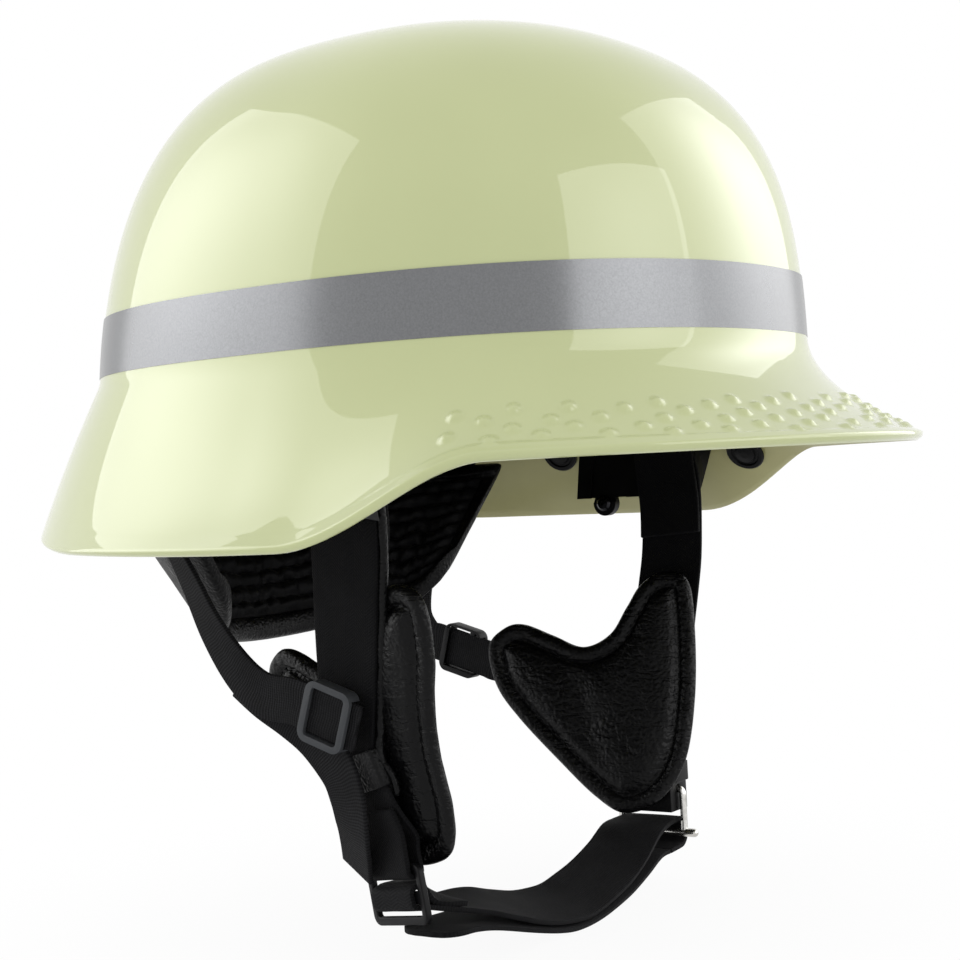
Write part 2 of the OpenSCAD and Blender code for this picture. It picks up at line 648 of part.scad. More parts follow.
// A rear slider: the webbing runs over its low bar, through, and under its high bar

slider_half_t = web_t / 2 + web_gap + bar_t;
slider_in = rear_w + 2 * web_gap;
module rear_slider() {
    h = slider_half_t;
    open_l = slider_l - 2 * bar_w;
    difference() {
        translate([0, 0, -h]) linear_extrude(2 * h)
            polygon(rounded_rect(slider_l, slider_in + 2 * rail_w, 3));
        translate([-open_l / 2, -slider_in / 2, -h - 1]) cube([open_l, slider_in, 2 * h + 2]);
        translate([-slider_l, -slider_in / 2, bar_t - h]) cube([slider_l, slider_in, 2 * h]);
        translate([0, -slider_in / 2, -h - bar_t]) cube([slider_l, slider_in, 2 * h]);
    }
}
module near_rear_slider() {
    color("#55575a") set_at(near_slider_c, near_slider_run, cross([-1, 0, 0], near_slider_run))
        rear_slider();
}
module far_rear_slider() {
    color("#55575a") set_at(far_slider_c, far_slider_run, cross([1, 0, 0], far_slider_run))
        rear_slider();
}

// Chin slider: a ladder of bars. Its X runs down, Y across and Z outward

chin_top = [-73.5, -14.9, -159.4];
chin_run = unit([-0.014, -0.172, -0.985]);
chin_side = [-0.336, -0.927, 0.167];
slot_w = front_w + 2 * web_gap;
chin_bars = [[0, 2.8], [8.6, 12.6], [16.2, 19]];
module chin_place() { set_at(chin_top, chin_run, chin_side) children(); }
chin_x = chin_run;
chin_z = unit(cross(chin_run, chin_side));
chin_y = cross(chin_z, chin_x);
function chin_at(x, y, z) = chin_top + chin_x * x + chin_y * y + chin_z * z;
module chin_slider() {
    h = chin_bars[2][1];
    color("#232427") chin_place() difference() {
        translate([h / 2, 0, -chin_slider_t / 2]) linear_extrude(chin_slider_t)
            polygon(rounded_rect(h, chin_slider_w, 3.4));
        for (k = [0 : 1]) let (a = chin_bars[k][1], b = chin_bars[k + 1][0])
            translate([(a + b) / 2, 0, -chin_slider_t]) linear_extrude(2 * chin_slider_t)
                polygon(rounded_rect(b - a, slot_w, 0.9));
    }
}

// The front strap goes through the top slot and comes back outside the top bar
chin_off = chin_slider_t / 2 + web_gap + web_t / 2;
return_x = chin_bars[0][1] + web_gap + web_t / 2;
return_route = [[chin_at(-9, 0, -chin_off - 0.2), chin_z], [chin_at(-4, 0, -chin_off), chin_z],
    [chin_at(0, 0, -chin_off), chin_z], [chin_at(return_x - 1.2, 0, -chin_off), chin_z],
    [chin_at(return_x - 0.2, 0, -1.3), chin_z - chin_x], [chin_at(return_x, 0, 0), -chin_x],
    [chin_at(return_x - 0.2, 0, 1.3), -chin_z - chin_x],
    [chin_at(return_x - 1.2, 0, chin_off), -chin_z], [chin_at(0, 0, chin_off), -chin_z],
    [chin_at(-4, 0, chin_off), -chin_z], [chin_at(-9, 0, chin_off), -chin_z]];

// End block and ring, hung below the far front strap

module end_block() {
    color("#1d1e20") translate([ring_c[0], ring_c[1], 0]) difference() {
        translate([0, 0, block_low]) linear_extrude(block_h)
            polygon(rounded_rect(block_t, block_w, 2.2));
        translate([0, block_w, ring_top_z]) rotate([90, 0, 0])
            cylinder(h = 2 * block_w, r = wire_d / 2 + 0.25);
        translate([-block_t / 2, 0, block_low + block_h]) rotate([0, 45, 0])
            cube([block_chamfer * sqrt(2), 2 * block_w, block_chamfer * sqrt(2)], center = true);
        for (m = [0, 1]) mirror([0, m, 0])
            translate([-block_t, leg_y - wire_d / 2 - 0.4, block_low - 1])
                cube([2 * block_t, block_w, ring_h - 8.4 + wire_d / 2 + 1.4]);
    }
}
module d_ring() {
    color("#c9cacc") translate([ring_c[0], ring_c[1], 0]) {
        translate([0, leg_y - bend_r, ring_top_z]) rotate([90, 0, 0])
            cylinder(h = 2 * (leg_y - bend_r), r = wire_d / 2);
        for (m = [0, 1]) mirror([0, m, 0]) {
            translate([0, leg_y, pin_z]) cylinder(h = ring_h - bend_r, r = wire_d / 2);
            translate([0, leg_y - bend_r, ring_top_z - bend_r]) rotate([90, 0, 90])
                rotate_extrude(angle = 90) translate([bend_r, 0]) circle(wire_d / 2);
        }
        translate([0, leg_y + pin_d / 2, pin_z]) rotate([90, 0, 0])
            cylinder(h = 2 * leg_y + pin_d + 2.4, r = pin_d / 2);
        translate([0, -leg_y - pin_d / 2 - 2.4, pin_z]) sphere(pin_d / 2);
    }
}

// Chin strap: round the chin slider's bar, under the chin, over the ring's pin and back

loop_r = pin_d / 2 + 2.7 + web_t / 2;
bar_mid = (chin_bars[1][0] + chin_bars[1][1]) / 2;
bar_half = (chin_bars[1][1] - chin_bars[1][0]) / 2 + web_gap + web_t / 2 + 0.3;
function pin_at(a) = [ring_c[0] + loop_r * sin(a), ring_c[1], pin_z + loop_r * cos(a)];
chin_route = [[[-58, -23.3, -172.6], [0, 0, -1]], [[-64, -21.2, -169.6], [0.3, 0, -1]],
    [chin_at(bar_mid - bar_half - 0.3, 0, -3.6), chin_x],
    [chin_at(bar_mid - bar_half, 0, -0.6), chin_x],
    [chin_at(bar_mid - bar_half + 1, 0, chin_off - 0.3), chin_x - chin_z],
    [chin_at(bar_mid, 0, chin_off), -chin_z],
    [chin_at(bar_mid + bar_half - 1, 0, chin_off - 0.3), -chin_x - chin_z],
    [chin_at(bar_mid + bar_half, 0, -0.6), -chin_x],
    [chin_at(bar_mid + bar_half + 0.2, 0, -3.6), -chin_x],
    [[-65.5, -20.6, -173.4], [0.25, -0.05, 1]], [[-57.5, -23.4, -174.6], [0.25, -0.12, 1]],
    [[-48, -26.2, -176], [0.28, -0.26, 1]], [[-39, -27.8, -178.2], [0.3, -0.36, 1]],
    [[-28, -28.8, -181.6], [0.28, -0.39, 1]], [[-16, -29, -184.6], [0.18, -0.39, 1]],
    [[-5, -29, -186.2], [0.05, -0.39, 1]], [[6, -28.8, -186.6], [-0.05, -0.39, 1]],
    [[19, -28, -185], [-0.13, -0.38, 1]], [[33, -27, -182.4], [-0.24, -0.36, 1]],
    [[47, -25.4, -178.4], [-0.36, -0.28, 1]], [[60, -23.6, -173.6], [-0.3, -0.16, 1]],
    [[70.5, -22.2, pin_z + loop_r - 0.3], [-0.08, -0.04, 1]],
    for (a = [0 : 30 : 180]) [pin_at(a), [sin(a), 0, cos(a)]],
    [[72, -22, -182.9], [0, 0, -1]]];
tail_route = [[[71.2, -22, -182.9], [0, 0, -1]], [[66, -22.2, -182.5], [0.05, 0.04, -1]],
    [[59, -23.4, -182.3], [0.2, 0.14, -1]],
    [[47, -25.4, -184], [0.22, 0.26, -1]], [[33, -27, -186.4], [0.18, 0.34, -1]],
    [[19, -28, -188.2], [0.1, 0.38, -1]], [[6, -28.8, -189.2], [0.03, 0.39, -1]],
    [[-5, -29, -189], [-0.05, 0.39, -1]], [[-16, -29, -187.6], [-0.16, 0.37, -1]],
    [[-28, -28.8, -185.2], [-0.2, 0.32, -1]], [[-40, -28.4, -182.9], [-0.18, 0.22, -1]],
    [[-52, -28, -181], [-0.14, 0.1, -1]], [[-62, -28, -179.8], [-0.06, 0.03, -1]],
    [[-69, -28, -179.3], [0, 0, -1]]];
tail_tip_r = 8;
module chin_strap() { color("#1a1b1d") routed_strap(chin_route, chin_w, web_t, 2); }
module chin_strap_tail() {
    color("#1a1b1d") union() {
        routed_strap(tail_route, chin_w, web_t, 2);
        translate([-69, -28, -179.3 - web_t / 2]) linear_extrude(web_t)
            hull() for (m = [-1, 1]) {
                translate([0.4, m * (chin_w / 2 - 0.1)]) circle(0.1);
                translate([-1, m * (chin_w / 2 - tail_tip_r)]) circle(tail_tip_r);
            }
    }
}

// Side pads, drawn in their own plane: U runs forward and V up

pad_origin = [62, 36.4, -109.3];
pad_n = unit([0.949, 0.241, -0.2]);
pad_u = unit([0.246, -0.969, 0]);
pad_v = cross(pad_n, pad_u) * -1;
near_pad_lift = 5;
near_pad_back = 3;
pad_mid = [50, -10];
pad_outline = closed_curve([[-0.5, 3], [6, 10.4], [14, 11.6], [26, 7], [38, 2.4], [48.5, 7],
    [55, 17], [61, 26], [70, 30.4], [79, 27], [81.6, 8], [81.4, -18], [76, -44], [66, -56],
    [53, -58], [44.7, -55.6], [28.8, -41], [12.6, -24.8], [3, -12]], 2);
// Share of the outline and height above the middle, from the face side to the strap side
pad_form = [[0.3, pad_t * 0.49], [0.6, pad_t * 0.45], [0.8, pad_t * 0.36],
    [0.88, pad_edge_t * 0.26], [0.93, pad_edge_t * 0.46], [0.975, pad_edge_t * 0.46], [1, 0],
    [0.975, pad_edge_t * -0.46], [0.92, pad_edge_t * -0.5], [0.78, pad_t * -0.41],
    [0.45, pad_t * -0.49]];
function pad_at(u, v, w) = pad_origin + pad_u * u + pad_v * v - pad_n * w;
near_pad_outline = closed_curve([[-0.5, 3], [6, 10.4], [14, 11.6], [26, 7], [38, 2.4], [48.5, 7],
    [55, 17], [61, 26.5], [70, 33], [80, 34], [87, 28], [86, 12], [81, -4], [78.5, -20], [79, -38],
    [75, -51], [65, -56.5], [53, -58], [44.7, -55.6], [28.8, -41], [12.6, -24.8], [3, -12]], 2);
module side_pad(outline) {
    skin([for (f = pad_form) [for (q = outline)
            let (p = pad_mid + (q - pad_mid) * f[0]) pad_at(p[0], p[1], f[1])]],
        pad_at(pad_mid[0], pad_mid[1], pad_t / 2), pad_at(pad_mid[0], pad_mid[1], -pad_t / 2));
}
module near_side_pad() {
    color("#1a1a1b") translate([0, near_pad_back, near_pad_lift]) mirror([1, 0, 0])
        side_pad(near_pad_outline);
}
module far_side_pad() { color("#1a1a1b") side_pad(pad_outline); }

// Leather sleeves that hold the pads to the front straps
keeper_wall = 1.2;
keeper_l = 12;
module keeper(route, at, stem) {
    path = curve([for (r = route) r[0]], 4);
    facing = curve([for (r = route) r[1]], 4);
    a = front_w + 2 * (web_gap + keeper_wall);
    b = web_t + 2 * (web_gap + 0.5 + keeper_wall);
    set_at(path[at], along(path, at), cross(facing[at], along(path, at))) {
        rotate([90, 0, 90]) linear_extrude(keeper_l, center = true) difference() {
            polygon(rounded_rect(a, b, 1.4));
            polygon(rounded_rect(a - 2 * keeper_wall, b - 2 * keeper_wall, 0.6));
        }
        translate([-4, -9, -b / 2 - stem]) cube([8, 18, stem + 0.5]);
    }
}
module near_pad_keeper() { color("#151516") keeper(near_front_route, 29, 0.4); }
module far_pad_keeper() { color("#151516") keeper(far_front_route, 26, 1.6); }

shell();
reflective_band();
carrier_ring();
headband();
sweatband();
headband_hangers();
crown_strap_middle();
crown_strap_left();
crown_strap_right();
crown_pad();
near_anchor_block();
far_anchor_block();
wall_studs();
anchor_screws();
rear_anchors();
nape_pad();
nape_lining();
nape_tabs();
near_rear_strap();
far_rear_strap();
near_front_strap();
near_front_strap_lining();
far_front_strap();
far_front_strap_lining();
near_join_strap();
near_side_pad();
far_side_pad();
near_pad_keeper();
far_pad_keeper();
end_block();
chin_slider();
chin_strap();
chin_strap_tail();
near_rear_slider();
far_rear_slider();
d_ring();
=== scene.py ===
import math
import bpy
import numpy as np
from mathutils import Matrix, Vector, noise


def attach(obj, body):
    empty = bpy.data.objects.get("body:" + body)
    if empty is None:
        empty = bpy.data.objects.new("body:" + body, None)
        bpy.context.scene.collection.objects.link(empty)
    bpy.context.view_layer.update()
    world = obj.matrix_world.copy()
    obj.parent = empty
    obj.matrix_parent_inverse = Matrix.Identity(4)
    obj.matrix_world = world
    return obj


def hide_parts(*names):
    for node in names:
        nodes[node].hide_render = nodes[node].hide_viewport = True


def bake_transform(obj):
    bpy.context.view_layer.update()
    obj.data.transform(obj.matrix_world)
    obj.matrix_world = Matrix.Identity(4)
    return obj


# Fire helmet. Sizes in this file are in millimetres unless a line says otherwise.
# Z is up and the front faces -Y. The near side, which faces the camera, is the wearer's right, at -X.

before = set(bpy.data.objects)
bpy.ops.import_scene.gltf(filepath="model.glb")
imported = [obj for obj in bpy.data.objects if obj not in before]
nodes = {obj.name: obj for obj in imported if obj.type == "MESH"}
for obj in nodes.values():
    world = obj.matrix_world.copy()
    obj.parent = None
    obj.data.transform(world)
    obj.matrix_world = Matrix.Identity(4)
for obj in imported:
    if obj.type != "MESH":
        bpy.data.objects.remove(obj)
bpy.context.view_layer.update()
mm = 0.001      # one millimetre in Blender's metres
print("frame loaded:", len(nodes), "nodes")

# Camera of the photograph: its own directions, its place and its lens
cameraSettings = {
    "right": (0.5628, -0.8247, -0.0558), "up": (0.0340, -0.0443, 0.9984),
    "back": (-0.8259, -0.5638, 0.0031), "place": (-535.07, -371.06, -38.83), "lens": 69.70}


def makeCamera(c):
    data = bpy.data.cameras.new("photoCamera")
    data.lens = c["lens"]
    data.sensor_width = 36
    data.clip_start = 0.01
    camera = bpy.data.objects.new("photoCamera", data)
    bpy.context.scene.collection.objects.link(camera)
    turn = Matrix((c["right"], c["up"], c["back"])).transposed().to_4x4()
    camera.matrix_world = Matrix.Translation(Vector(c["place"]) * mm) @ turn
    bpy.context.scene.camera = camera


makeCamera(cameraSettings)


# Small helpers

def pickNone():
    if bpy.context.mode != "OBJECT":
        bpy.ops.object.mode_set(mode="OBJECT")
    bpy.ops.object.select_all(action="DESELECT")


def pickOnly(piece):
    pickNone()
    piece.select_set(True)
    bpy.context.view_layer.objects.active = piece


def addModifier(piece, kind, **settings):
    pickOnly(piece)
    m = piece.modifiers.new(kind.title(), kind)
    for key, value in settings.items():
        setattr(m, key, value)
    bpy.ops.object.modifier_apply(modifier=m.name)


def roundEdges(piece, width, segments, angle):
    addModifier(piece, "BEVEL", width=width * mm, segments=segments, limit_method="ANGLE",
                angle_limit=math.radians(angle))


def smoothBy(piece, angle):
    pickOnly(piece)
    bpy.ops.object.shade_smooth_by_angle(angle=math.radians(angle))


def setMaterial(piece, material):
    piece.data.materials.clear()
    piece.data.materials.append(material)


# Material and shading of a finished piece, the body it rides on and the solid it replaces
def finishPiece(piece, material, angle, body, node):
    if material:
        setMaterial(piece, material)
    smoothBy(piece, angle)
    if body:
        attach(piece, body)
    if node:
        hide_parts(node)
    return piece


def inEdit(piece, *steps):
    pickOnly(piece)
    bpy.ops.object.mode_set(mode="EDIT")
    bpy.ops.mesh.select_all(action="SELECT")
    for step in steps:
        step()
    bpy.ops.object.mode_set(mode="OBJECT")


def mergeClose(distance):
    bpy.ops.mesh.remove_doubles(threshold=distance * mm)


def faceOut():
    bpy.ops.mesh.normals_make_consistent(inside=False)


# A grid laid over rows of points. Closed rows join end to end, and a row of equal points is a pole.
# run and across, where given, become the UV map in metres: v along the rows and u across them.
def layGrid(name, rows, closed=False, run=None, across=None, merge=0.004):
    rows = np.asarray(rows, float)
    if closed:
        rows = np.concatenate([rows, rows[:, :1]], axis=1)
    n, m = rows.shape[:2]
    pickNone()
    bpy.ops.mesh.primitive_grid_add(x_subdivisions=m - 1, y_subdivisions=n - 1, size=1)
    piece = bpy.context.object
    piece.name = piece.data.name = name
    piece.data.vertices.foreach_set("co", (rows * mm).ravel())
    if run is not None:
        layer = piece.data.uv_layers.active or piece.data.uv_layers.new(name="UVMap")
        index = np.zeros(len(piece.data.loops), dtype=np.int32)
        piece.data.loops.foreach_get("vertex_index", index)
        uv = np.zeros((len(index), 2))
        uv[:, 0] = np.asarray(across)[index % m] * mm
        uv[:, 1] = np.asarray(run)[index // m] * mm
        layer.data.foreach_set("uv", uv.ravel())
    piece.data.update()
    if merge:
        inEdit(piece, lambda: mergeClose(merge), faceOut)
    return piece


# Rows with a pole added at each end, which closes a sleeve
def closeEnds(rows):
    rows = np.array(rows)
    first, last = (end.mean(axis=1, keepdims=True).repeat(rows.shape[1], 1) for end in (rows[:1], rows[-1:]))
    return np.concatenate([first, rows, last])


def joinPieces(name, pieces):
    pickNone()
    for p in pieces:
        p.select_set(True)
    bpy.context.view_layer.objects.active = pieces[0]
    bpy.ops.object.join()
    pieces[0].name = pieces[0].data.name = name
    return pieces[0]


def unit(v):
    v = np.asarray(v, float)
    return v / np.maximum(np.linalg.norm(v, axis=-1, keepdims=True), 1e-9)


def ease(t):
    t = np.clip(t, 0, 1)
    return t * t * (3 - 2 * t)


def signedPower(v, e):
    return np.sign(v) * np.abs(v) ** e


# A smooth curve through points with n steps between two of them
def curveThrough(points, n, closed=False):
    p = np.asarray(points, float)
    k = len(p)
    t = (np.arange(n) / n)[:, None]
    out = []
    for i in range(k if closed else k - 1):
        if closed:
            a, b, c, d = p[i - 1], p[i], p[(i + 1) % k], p[(i + 2) % k]
        else:
            a, b, c, d = p[max(i - 1, 0)], p[i], p[i + 1], p[min(i + 2, k - 1)]
        out.append(0.5 * (2 * b + (c - a) * t + (2 * a - 5 * b + 4 * c - d) * t * t
                          + (3 * b - a - 3 * c + d) * t ** 3))
    if not closed:
        out.append(p[-1:])
    return np.concatenate(out)


# The curve of a route and the way it faces
def routeCurve(route, steps):
    path = curveThrough([r[0] for r in route], steps)
    facing = curveThrough([r[1] for r in route], steps)
    return path, facing


# The directions along a route and across it
def routeAxes(path, facing):
    ahead = unit(np.gradient(path, axis=0))
    return ahead, unit(np.cross(facing, ahead))


def runOf(path):
    step = np.linalg.norm(np.diff(path, axis=0), axis=1)
    return np.concatenate([[0], np.cumsum(step)])


# Materials

def hexColour(text):
    parts = [int(text[i:i + 2], 16) / 255 for i in (1, 3, 5)]
    return tuple(c / 12.92 if c <= 0.04045 else ((c + 0.055) / 1.055) ** 2.4 for c in parts) + (1.0,)


# Adds a node with its settings and its links in. stops are the places and colours of a ramp.
def addNode(tree, kind, settings=None, links=None, stops=()):
    node = tree.nodes.new("ShaderNode" + kind)
    for key, value in (settings or {}).items():
        if isinstance(key, str) and hasattr(node, key):
            setattr(node, key, value)
        else:
            node.inputs[key].default_value = value
    for key, (other, output) in (links or {}).items():
        tree.links.new(other.outputs[output], node.inputs[key])
    for i, (place, colour) in enumerate(stops):
        while len(node.color_ramp.elements) <= i:
            node.color_ramp.elements.new(0.5)
        node.color_ramp.elements[i].position = place
        node.color_ramp.elements[i].color = hexColour(colour)
    return node


def newMaterial(name, **sockets):
    material = bpy.data.materials.new(name)
    material.use_nodes = True
    tree = material.node_tree
    shader = tree.nodes["Principled BSDF"]
    for key, value in sockets.items():
        shader.inputs[key.replace("_", " ")].default_value = value
    return material, tree, shader


def linkShader(tree, shader, links):
    for key, (other, output) in links.items():
        tree.links.new(other.outputs[output], shader.inputs[key])


# Gloss luminous lacquer over a moulded shell: a thick clear coat with a faint orange peel
def paintMaterial(name, dark, light):
    material, tree, shader = newMaterial(name, Roughness=0.34, Specular_IOR_Level=0.15, Coat_Weight=1.0,
                                         Coat_Roughness=0.03, Coat_IOR=1.5)
    spot = {"Vector": (addNode(tree, "TexCoord"), "Object")}
    cloud = addNode(tree, "TexNoise", {"Scale": 14.0, "Detail": 2.0}, spot)
    tone = addNode(tree, "ValToRGB", None, {"Fac": (cloud, "Fac")}, [(0.3, dark), (0.7, light)])
    peel = addNode(tree, "TexNoise", {"Scale": 330.0, "Detail": 1.0}, spot)
    bump = addNode(tree, "Bump", {"Strength": 0.05, "Distance": 0.12 * mm}, {"Height": (peel, "Fac")})
    wear = addNode(tree, "TexNoise", {"Scale": 40.0, "Detail": 6.0}, spot)
    rough = addNode(tree, "MapRange", {"To Min": 0.3, "To Max": 0.4}, {"Value": (wear, "Fac")})
    linkShader(tree, shader, {"Base Color": (tone, "Color"), "Normal": (bump, "Normal"),
                              "Roughness": (rough, "Result")})
    return material


# The same lacquer inside the shell with a thinner, rougher clear coat; its colour is painted darker and more olive, as
# painted shade for the inside of the shell
def shadedInnerPaintMaterial(name, dark, light):
    material, tree, shader = newMaterial(name, Roughness=0.42, Coat_Weight=0.25, Coat_Roughness=0.2)
    spot = {"Vector": (addNode(tree, "TexCoord"), "Object")}
    cloud = addNode(tree, "TexNoise", {"Scale": 30.0, "Detail": 5.0}, spot)
    tone = addNode(tree, "ValToRGB", None, {"Fac": (cloud, "Fac")}, [(0.3, dark), (0.7, light)])
    grit = addNode(tree, "TexNoise", {"Scale": 700.0, "Detail": 2.0}, spot)
    bump = addNode(tree, "Bump", {"Strength": 0.15, "Distance": 0.15 * mm}, {"Height": (grit, "Fac")})
    linkShader(tree, shader, {"Base Color": (tone, "Color"), "Normal": (bump, "Normal")})
    return material


# Reflective tape: a grey film of fine glass beads under 3 mm sealing cells that only just show
def tapeMaterial(name, dark, light):
    material, tree, shader = newMaterial(name, Metallic=0.6, Roughness=0.24)
    spot = {"Vector": (addNode(tree, "TexCoord"), "Object")}
    beads = addNode(tree, "TexNoise", {"Scale": 1600.0, "Detail": 2.0}, spot)
    cells = addNode(tree, "TexVoronoi", {"Scale": 330.0, "feature": "DISTANCE_TO_EDGE"}, spot)
    tone = addNode(tree, "ValToRGB", None, {"Fac": (beads, "Fac")}, [(0.3, dark), (0.7, light)])
    seam = addNode(tree, "MapRange", {"From Max": 0.05, "To Min": 0.95, "To Max": 1.0},
                   {"Value": (cells, "Distance")})
    both = addNode(tree, "Mix", {"data_type": "RGBA", "blend_type": "MULTIPLY", 0: 1.0},
                   {6: (tone, "Color"), 7: (seam, "Result")})
    bump = addNode(tree, "Bump", {"Strength": 0.08, "Distance": 0.03 * mm}, {"Height": (beads, "Fac")})
    linkShader(tree, shader, {"Base Color": (both, 2), "Normal": (bump, "Normal")})
    return material


# Woven polyester webbing. Its weave follows the strap's UV map, u across and v along, in metres.
# rib is the distance between weft ribs; a real 1400-denier rib is about 0.5 mm, drawn coarser to show.
# slant leans the ribs into a herringbone with turns 4.2 mm apart, and fuzz is how hairy the yarn is.
def webbingMaterial(name, dark, light, rib, slant, fuzz=0.5):
    material, tree, shader = newMaterial(name, Roughness=0.75, Specular_IOR_Level=0.07, Sheen_Weight=0.012,
                                         Sheen_Roughness=0.5)
    parts = addNode(tree, "SeparateXYZ", None, {"Vector": (addNode(tree, "UVMap"), "UV")})
    turn = addNode(tree, "Math", {"operation": "PINGPONG", 1: 4.2 * mm}, {0: (parts, "X")})
    lean = addNode(tree, "Math", {"operation": "MULTIPLY_ADD", 1: slant}, {0: (turn, "Value"), 2: (parts, "Y")})
    waves = []
    for source, pitch in (((lean, "Value"), rib), ((parts, "X"), rib * 0.8)):
        phase = addNode(tree, "Math", {"operation": "MULTIPLY", 1: 2 * math.pi / (pitch * mm)}, {0: source})
        waves.append(addNode(tree, "Math", {"operation": "SINE"}, {0: (phase, "Value")}))
    weave = addNode(tree, "Math", {"operation": "MULTIPLY_ADD", 1: 0.4},
                    {0: (waves[1], "Value"), 2: (waves[0], "Value")})
    spot = {"Vector": (addNode(tree, "TexCoord"), "Object")}
    hair = addNode(tree, "TexNoise", {"Scale": 1500.0, "Detail": 3.0}, spot)
    patch = addNode(tree, "TexNoise", {"Scale": 90.0, "Detail": 4.0}, spot)
    mixed = addNode(tree, "Math", {"operation": "MULTIPLY_ADD", 1: fuzz * 3},
                    {0: (hair, "Fac"), 2: (weave, "Value")})
    share = addNode(tree, "MapRange", {"From Min": -1.0, "From Max": 2.6}, {"Value": (mixed, "Value")})
    tone = addNode(tree, "ValToRGB", None, {"Fac": (share, "Result")}, [(0.1, dark), (0.95, light)])
    shade = addNode(tree, "MapRange", {"From Min": 0.3, "From Max": 0.7, "To Min": 0.75, "To Max": 1.15},
                    {"Value": (patch, "Fac")})
    both = addNode(tree, "Mix", {"data_type": "RGBA", "blend_type": "MULTIPLY", 0: 1.0},
                   {6: (tone, "Color"), 7: (shade, "Result")})
    bump = addNode(tree, "Bump", {"Strength": 0.45, "Distance": 0.09 * mm}, {"Height": (mixed, "Value")})
    linkShader(tree, shader, {"Base Color": (both, 2), "Normal": (bump, "Normal")})
    return material


# Soft black nappa leather: a polished pebble grain, crossed by fine creases that run one way
def leatherMaterial(name, dark, light, grain, crease, gloss):
    material, tree, shader = newMaterial(name, Roughness=gloss, Specular_IOR_Level=0.13)
    place = addNode(tree, "TexCoord")
    spot = {"Vector": (place, "Object")}
    drift = addNode(tree, "TexNoise", {"Scale": 160.0, "Detail": 3.0}, spot)
    moved = addNode(tree, "VectorMath", {"operation": "MULTIPLY_ADD", 1: (3 * mm, 3 * mm, 3 * mm)},
                    {0: (drift, "Color"), 2: (place, "Object")})
    cells = addNode(tree, "TexVoronoi", {"Scale": 1 / (grain * mm), "feature": "SMOOTH_F1", "Smoothness": 0.35},
                    {"Vector": (moved, "Vector")})
    drawn = addNode(tree, "Mapping", {"Rotation": (0.3, 0.2, 0.0), "Scale": (60.0, 60.0, 420.0)},
                    {"Vector": (moved, "Vector")})
    folds = addNode(tree, "TexNoise", {"Scale": 1.0, "Detail": 4.0, "Roughness": 0.55},
                    {"Vector": (drawn, "Vector")})
    deep = addNode(tree, "ValToRGB", None, {"Fac": (folds, "Fac")}, [(0.36, "#000000"), (0.47, "#ffffff")])
    broad = addNode(tree, "TexNoise", {"Scale": 75.0, "Detail": 5.0, "Roughness": 0.6}, spot)
    tone = addNode(tree, "ValToRGB", None, {"Fac": (broad, "Fac")}, [(0.3, dark), (0.75, light)])
    shine = addNode(tree, "MapRange", {"From Min": 0.3, "From Max": 0.7, "To Min": gloss - 0.08,
                                       "To Max": gloss + 0.14}, {"Value": (broad, "Fac")})
    first = addNode(tree, "Bump", {"Strength": 0.75, "Distance": -0.4 * mm}, {"Height": (cells, "Distance")})
    second = addNode(tree, "Bump", {"Strength": crease, "Distance": 0.22 * mm},
                     {"Height": (deep, "Color"), "Normal": (first, "Normal")})
    bump = addNode(tree, "Bump", {"Strength": 0.3, "Distance": 1.2 * mm},
                   {"Height": (broad, "Fac"), "Normal": (second, "Normal")})
    linkShader(tree, shader, {"Base Color": (tone, "Color"), "Roughness": (shine, "Result"),
                              "Normal": (bump, "Normal")})
    return material


# Knitted lining cloth with a dull sheen, 0.7 mm between rows of loops
def liningMaterial(name, dark, light):
    material, tree, shader = newMaterial(name, Roughness=0.62, Specular_IOR_Level=0.1, Sheen_Weight=0.02,
                                         Sheen_Roughness=0.4)
    spot = {"Vector": (addNode(tree, "TexCoord"), "Object")}
    loops = addNode(tree, "TexVoronoi", {"Scale": 1400.0}, spot)
    broad = addNode(tree, "TexNoise", {"Scale": 110.0, "Detail": 5.0}, spot)
    tone = addNode(tree, "ValToRGB", None, {"Fac": (broad, "Fac")}, [(0.3, dark), (0.7, light)])
    first = addNode(tree, "Bump", {"Strength": 0.4, "Distance": 0.12 * mm}, {"Height": (loops, "Distance")})
    bump = addNode(tree, "Bump", {"Strength": 0.4, "Distance": 0.8 * mm},
                   {"Height": (broad, "Fac"), "Normal": (first, "Normal")})
    linkShader(tree, shader, {"Base Color": (tone, "Color"), "Normal": (bump, "Normal")})
    return material


# Moulded plastic with a fine spark-eroded texture. grain is the distance between its pits.
def plasticMaterial(name, dark, light, rough, grain=0.4, depth=0.25):
    material, tree, shader = newMaterial(name, Roughness=rough, Specular_IOR_Level=0.12)
    spot = {"Vector": (addNode(tree, "TexCoord"), "Object")}
    broad = addNode(tree, "TexNoise", {"Scale": 60.0, "Detail": 4.0}, spot)
    tone = addNode(tree, "ValToRGB", None, {"Fac": (broad, "Fac")}, [(0.3, dark), (0.7, light)])
    pits = addNode(tree, "TexNoise", {"Scale": 1 / (grain * mm), "Detail": 2.0}, spot)
    bump = addNode(tree, "Bump", {"Strength": depth, "Distance": 0.06 * mm}, {"Height": (pits, "Fac")})
    shine = addNode(tree, "MapRange", {"To Min": rough - 0.08, "To Max": rough + 0.1}, {"Value": (broad, "Fac")})
    linkShader(tree, shader, {"Base Color": (tone, "Color"), "Normal": (bump, "Normal"),
                              "Roughness": (shine, "Result")})
    return material


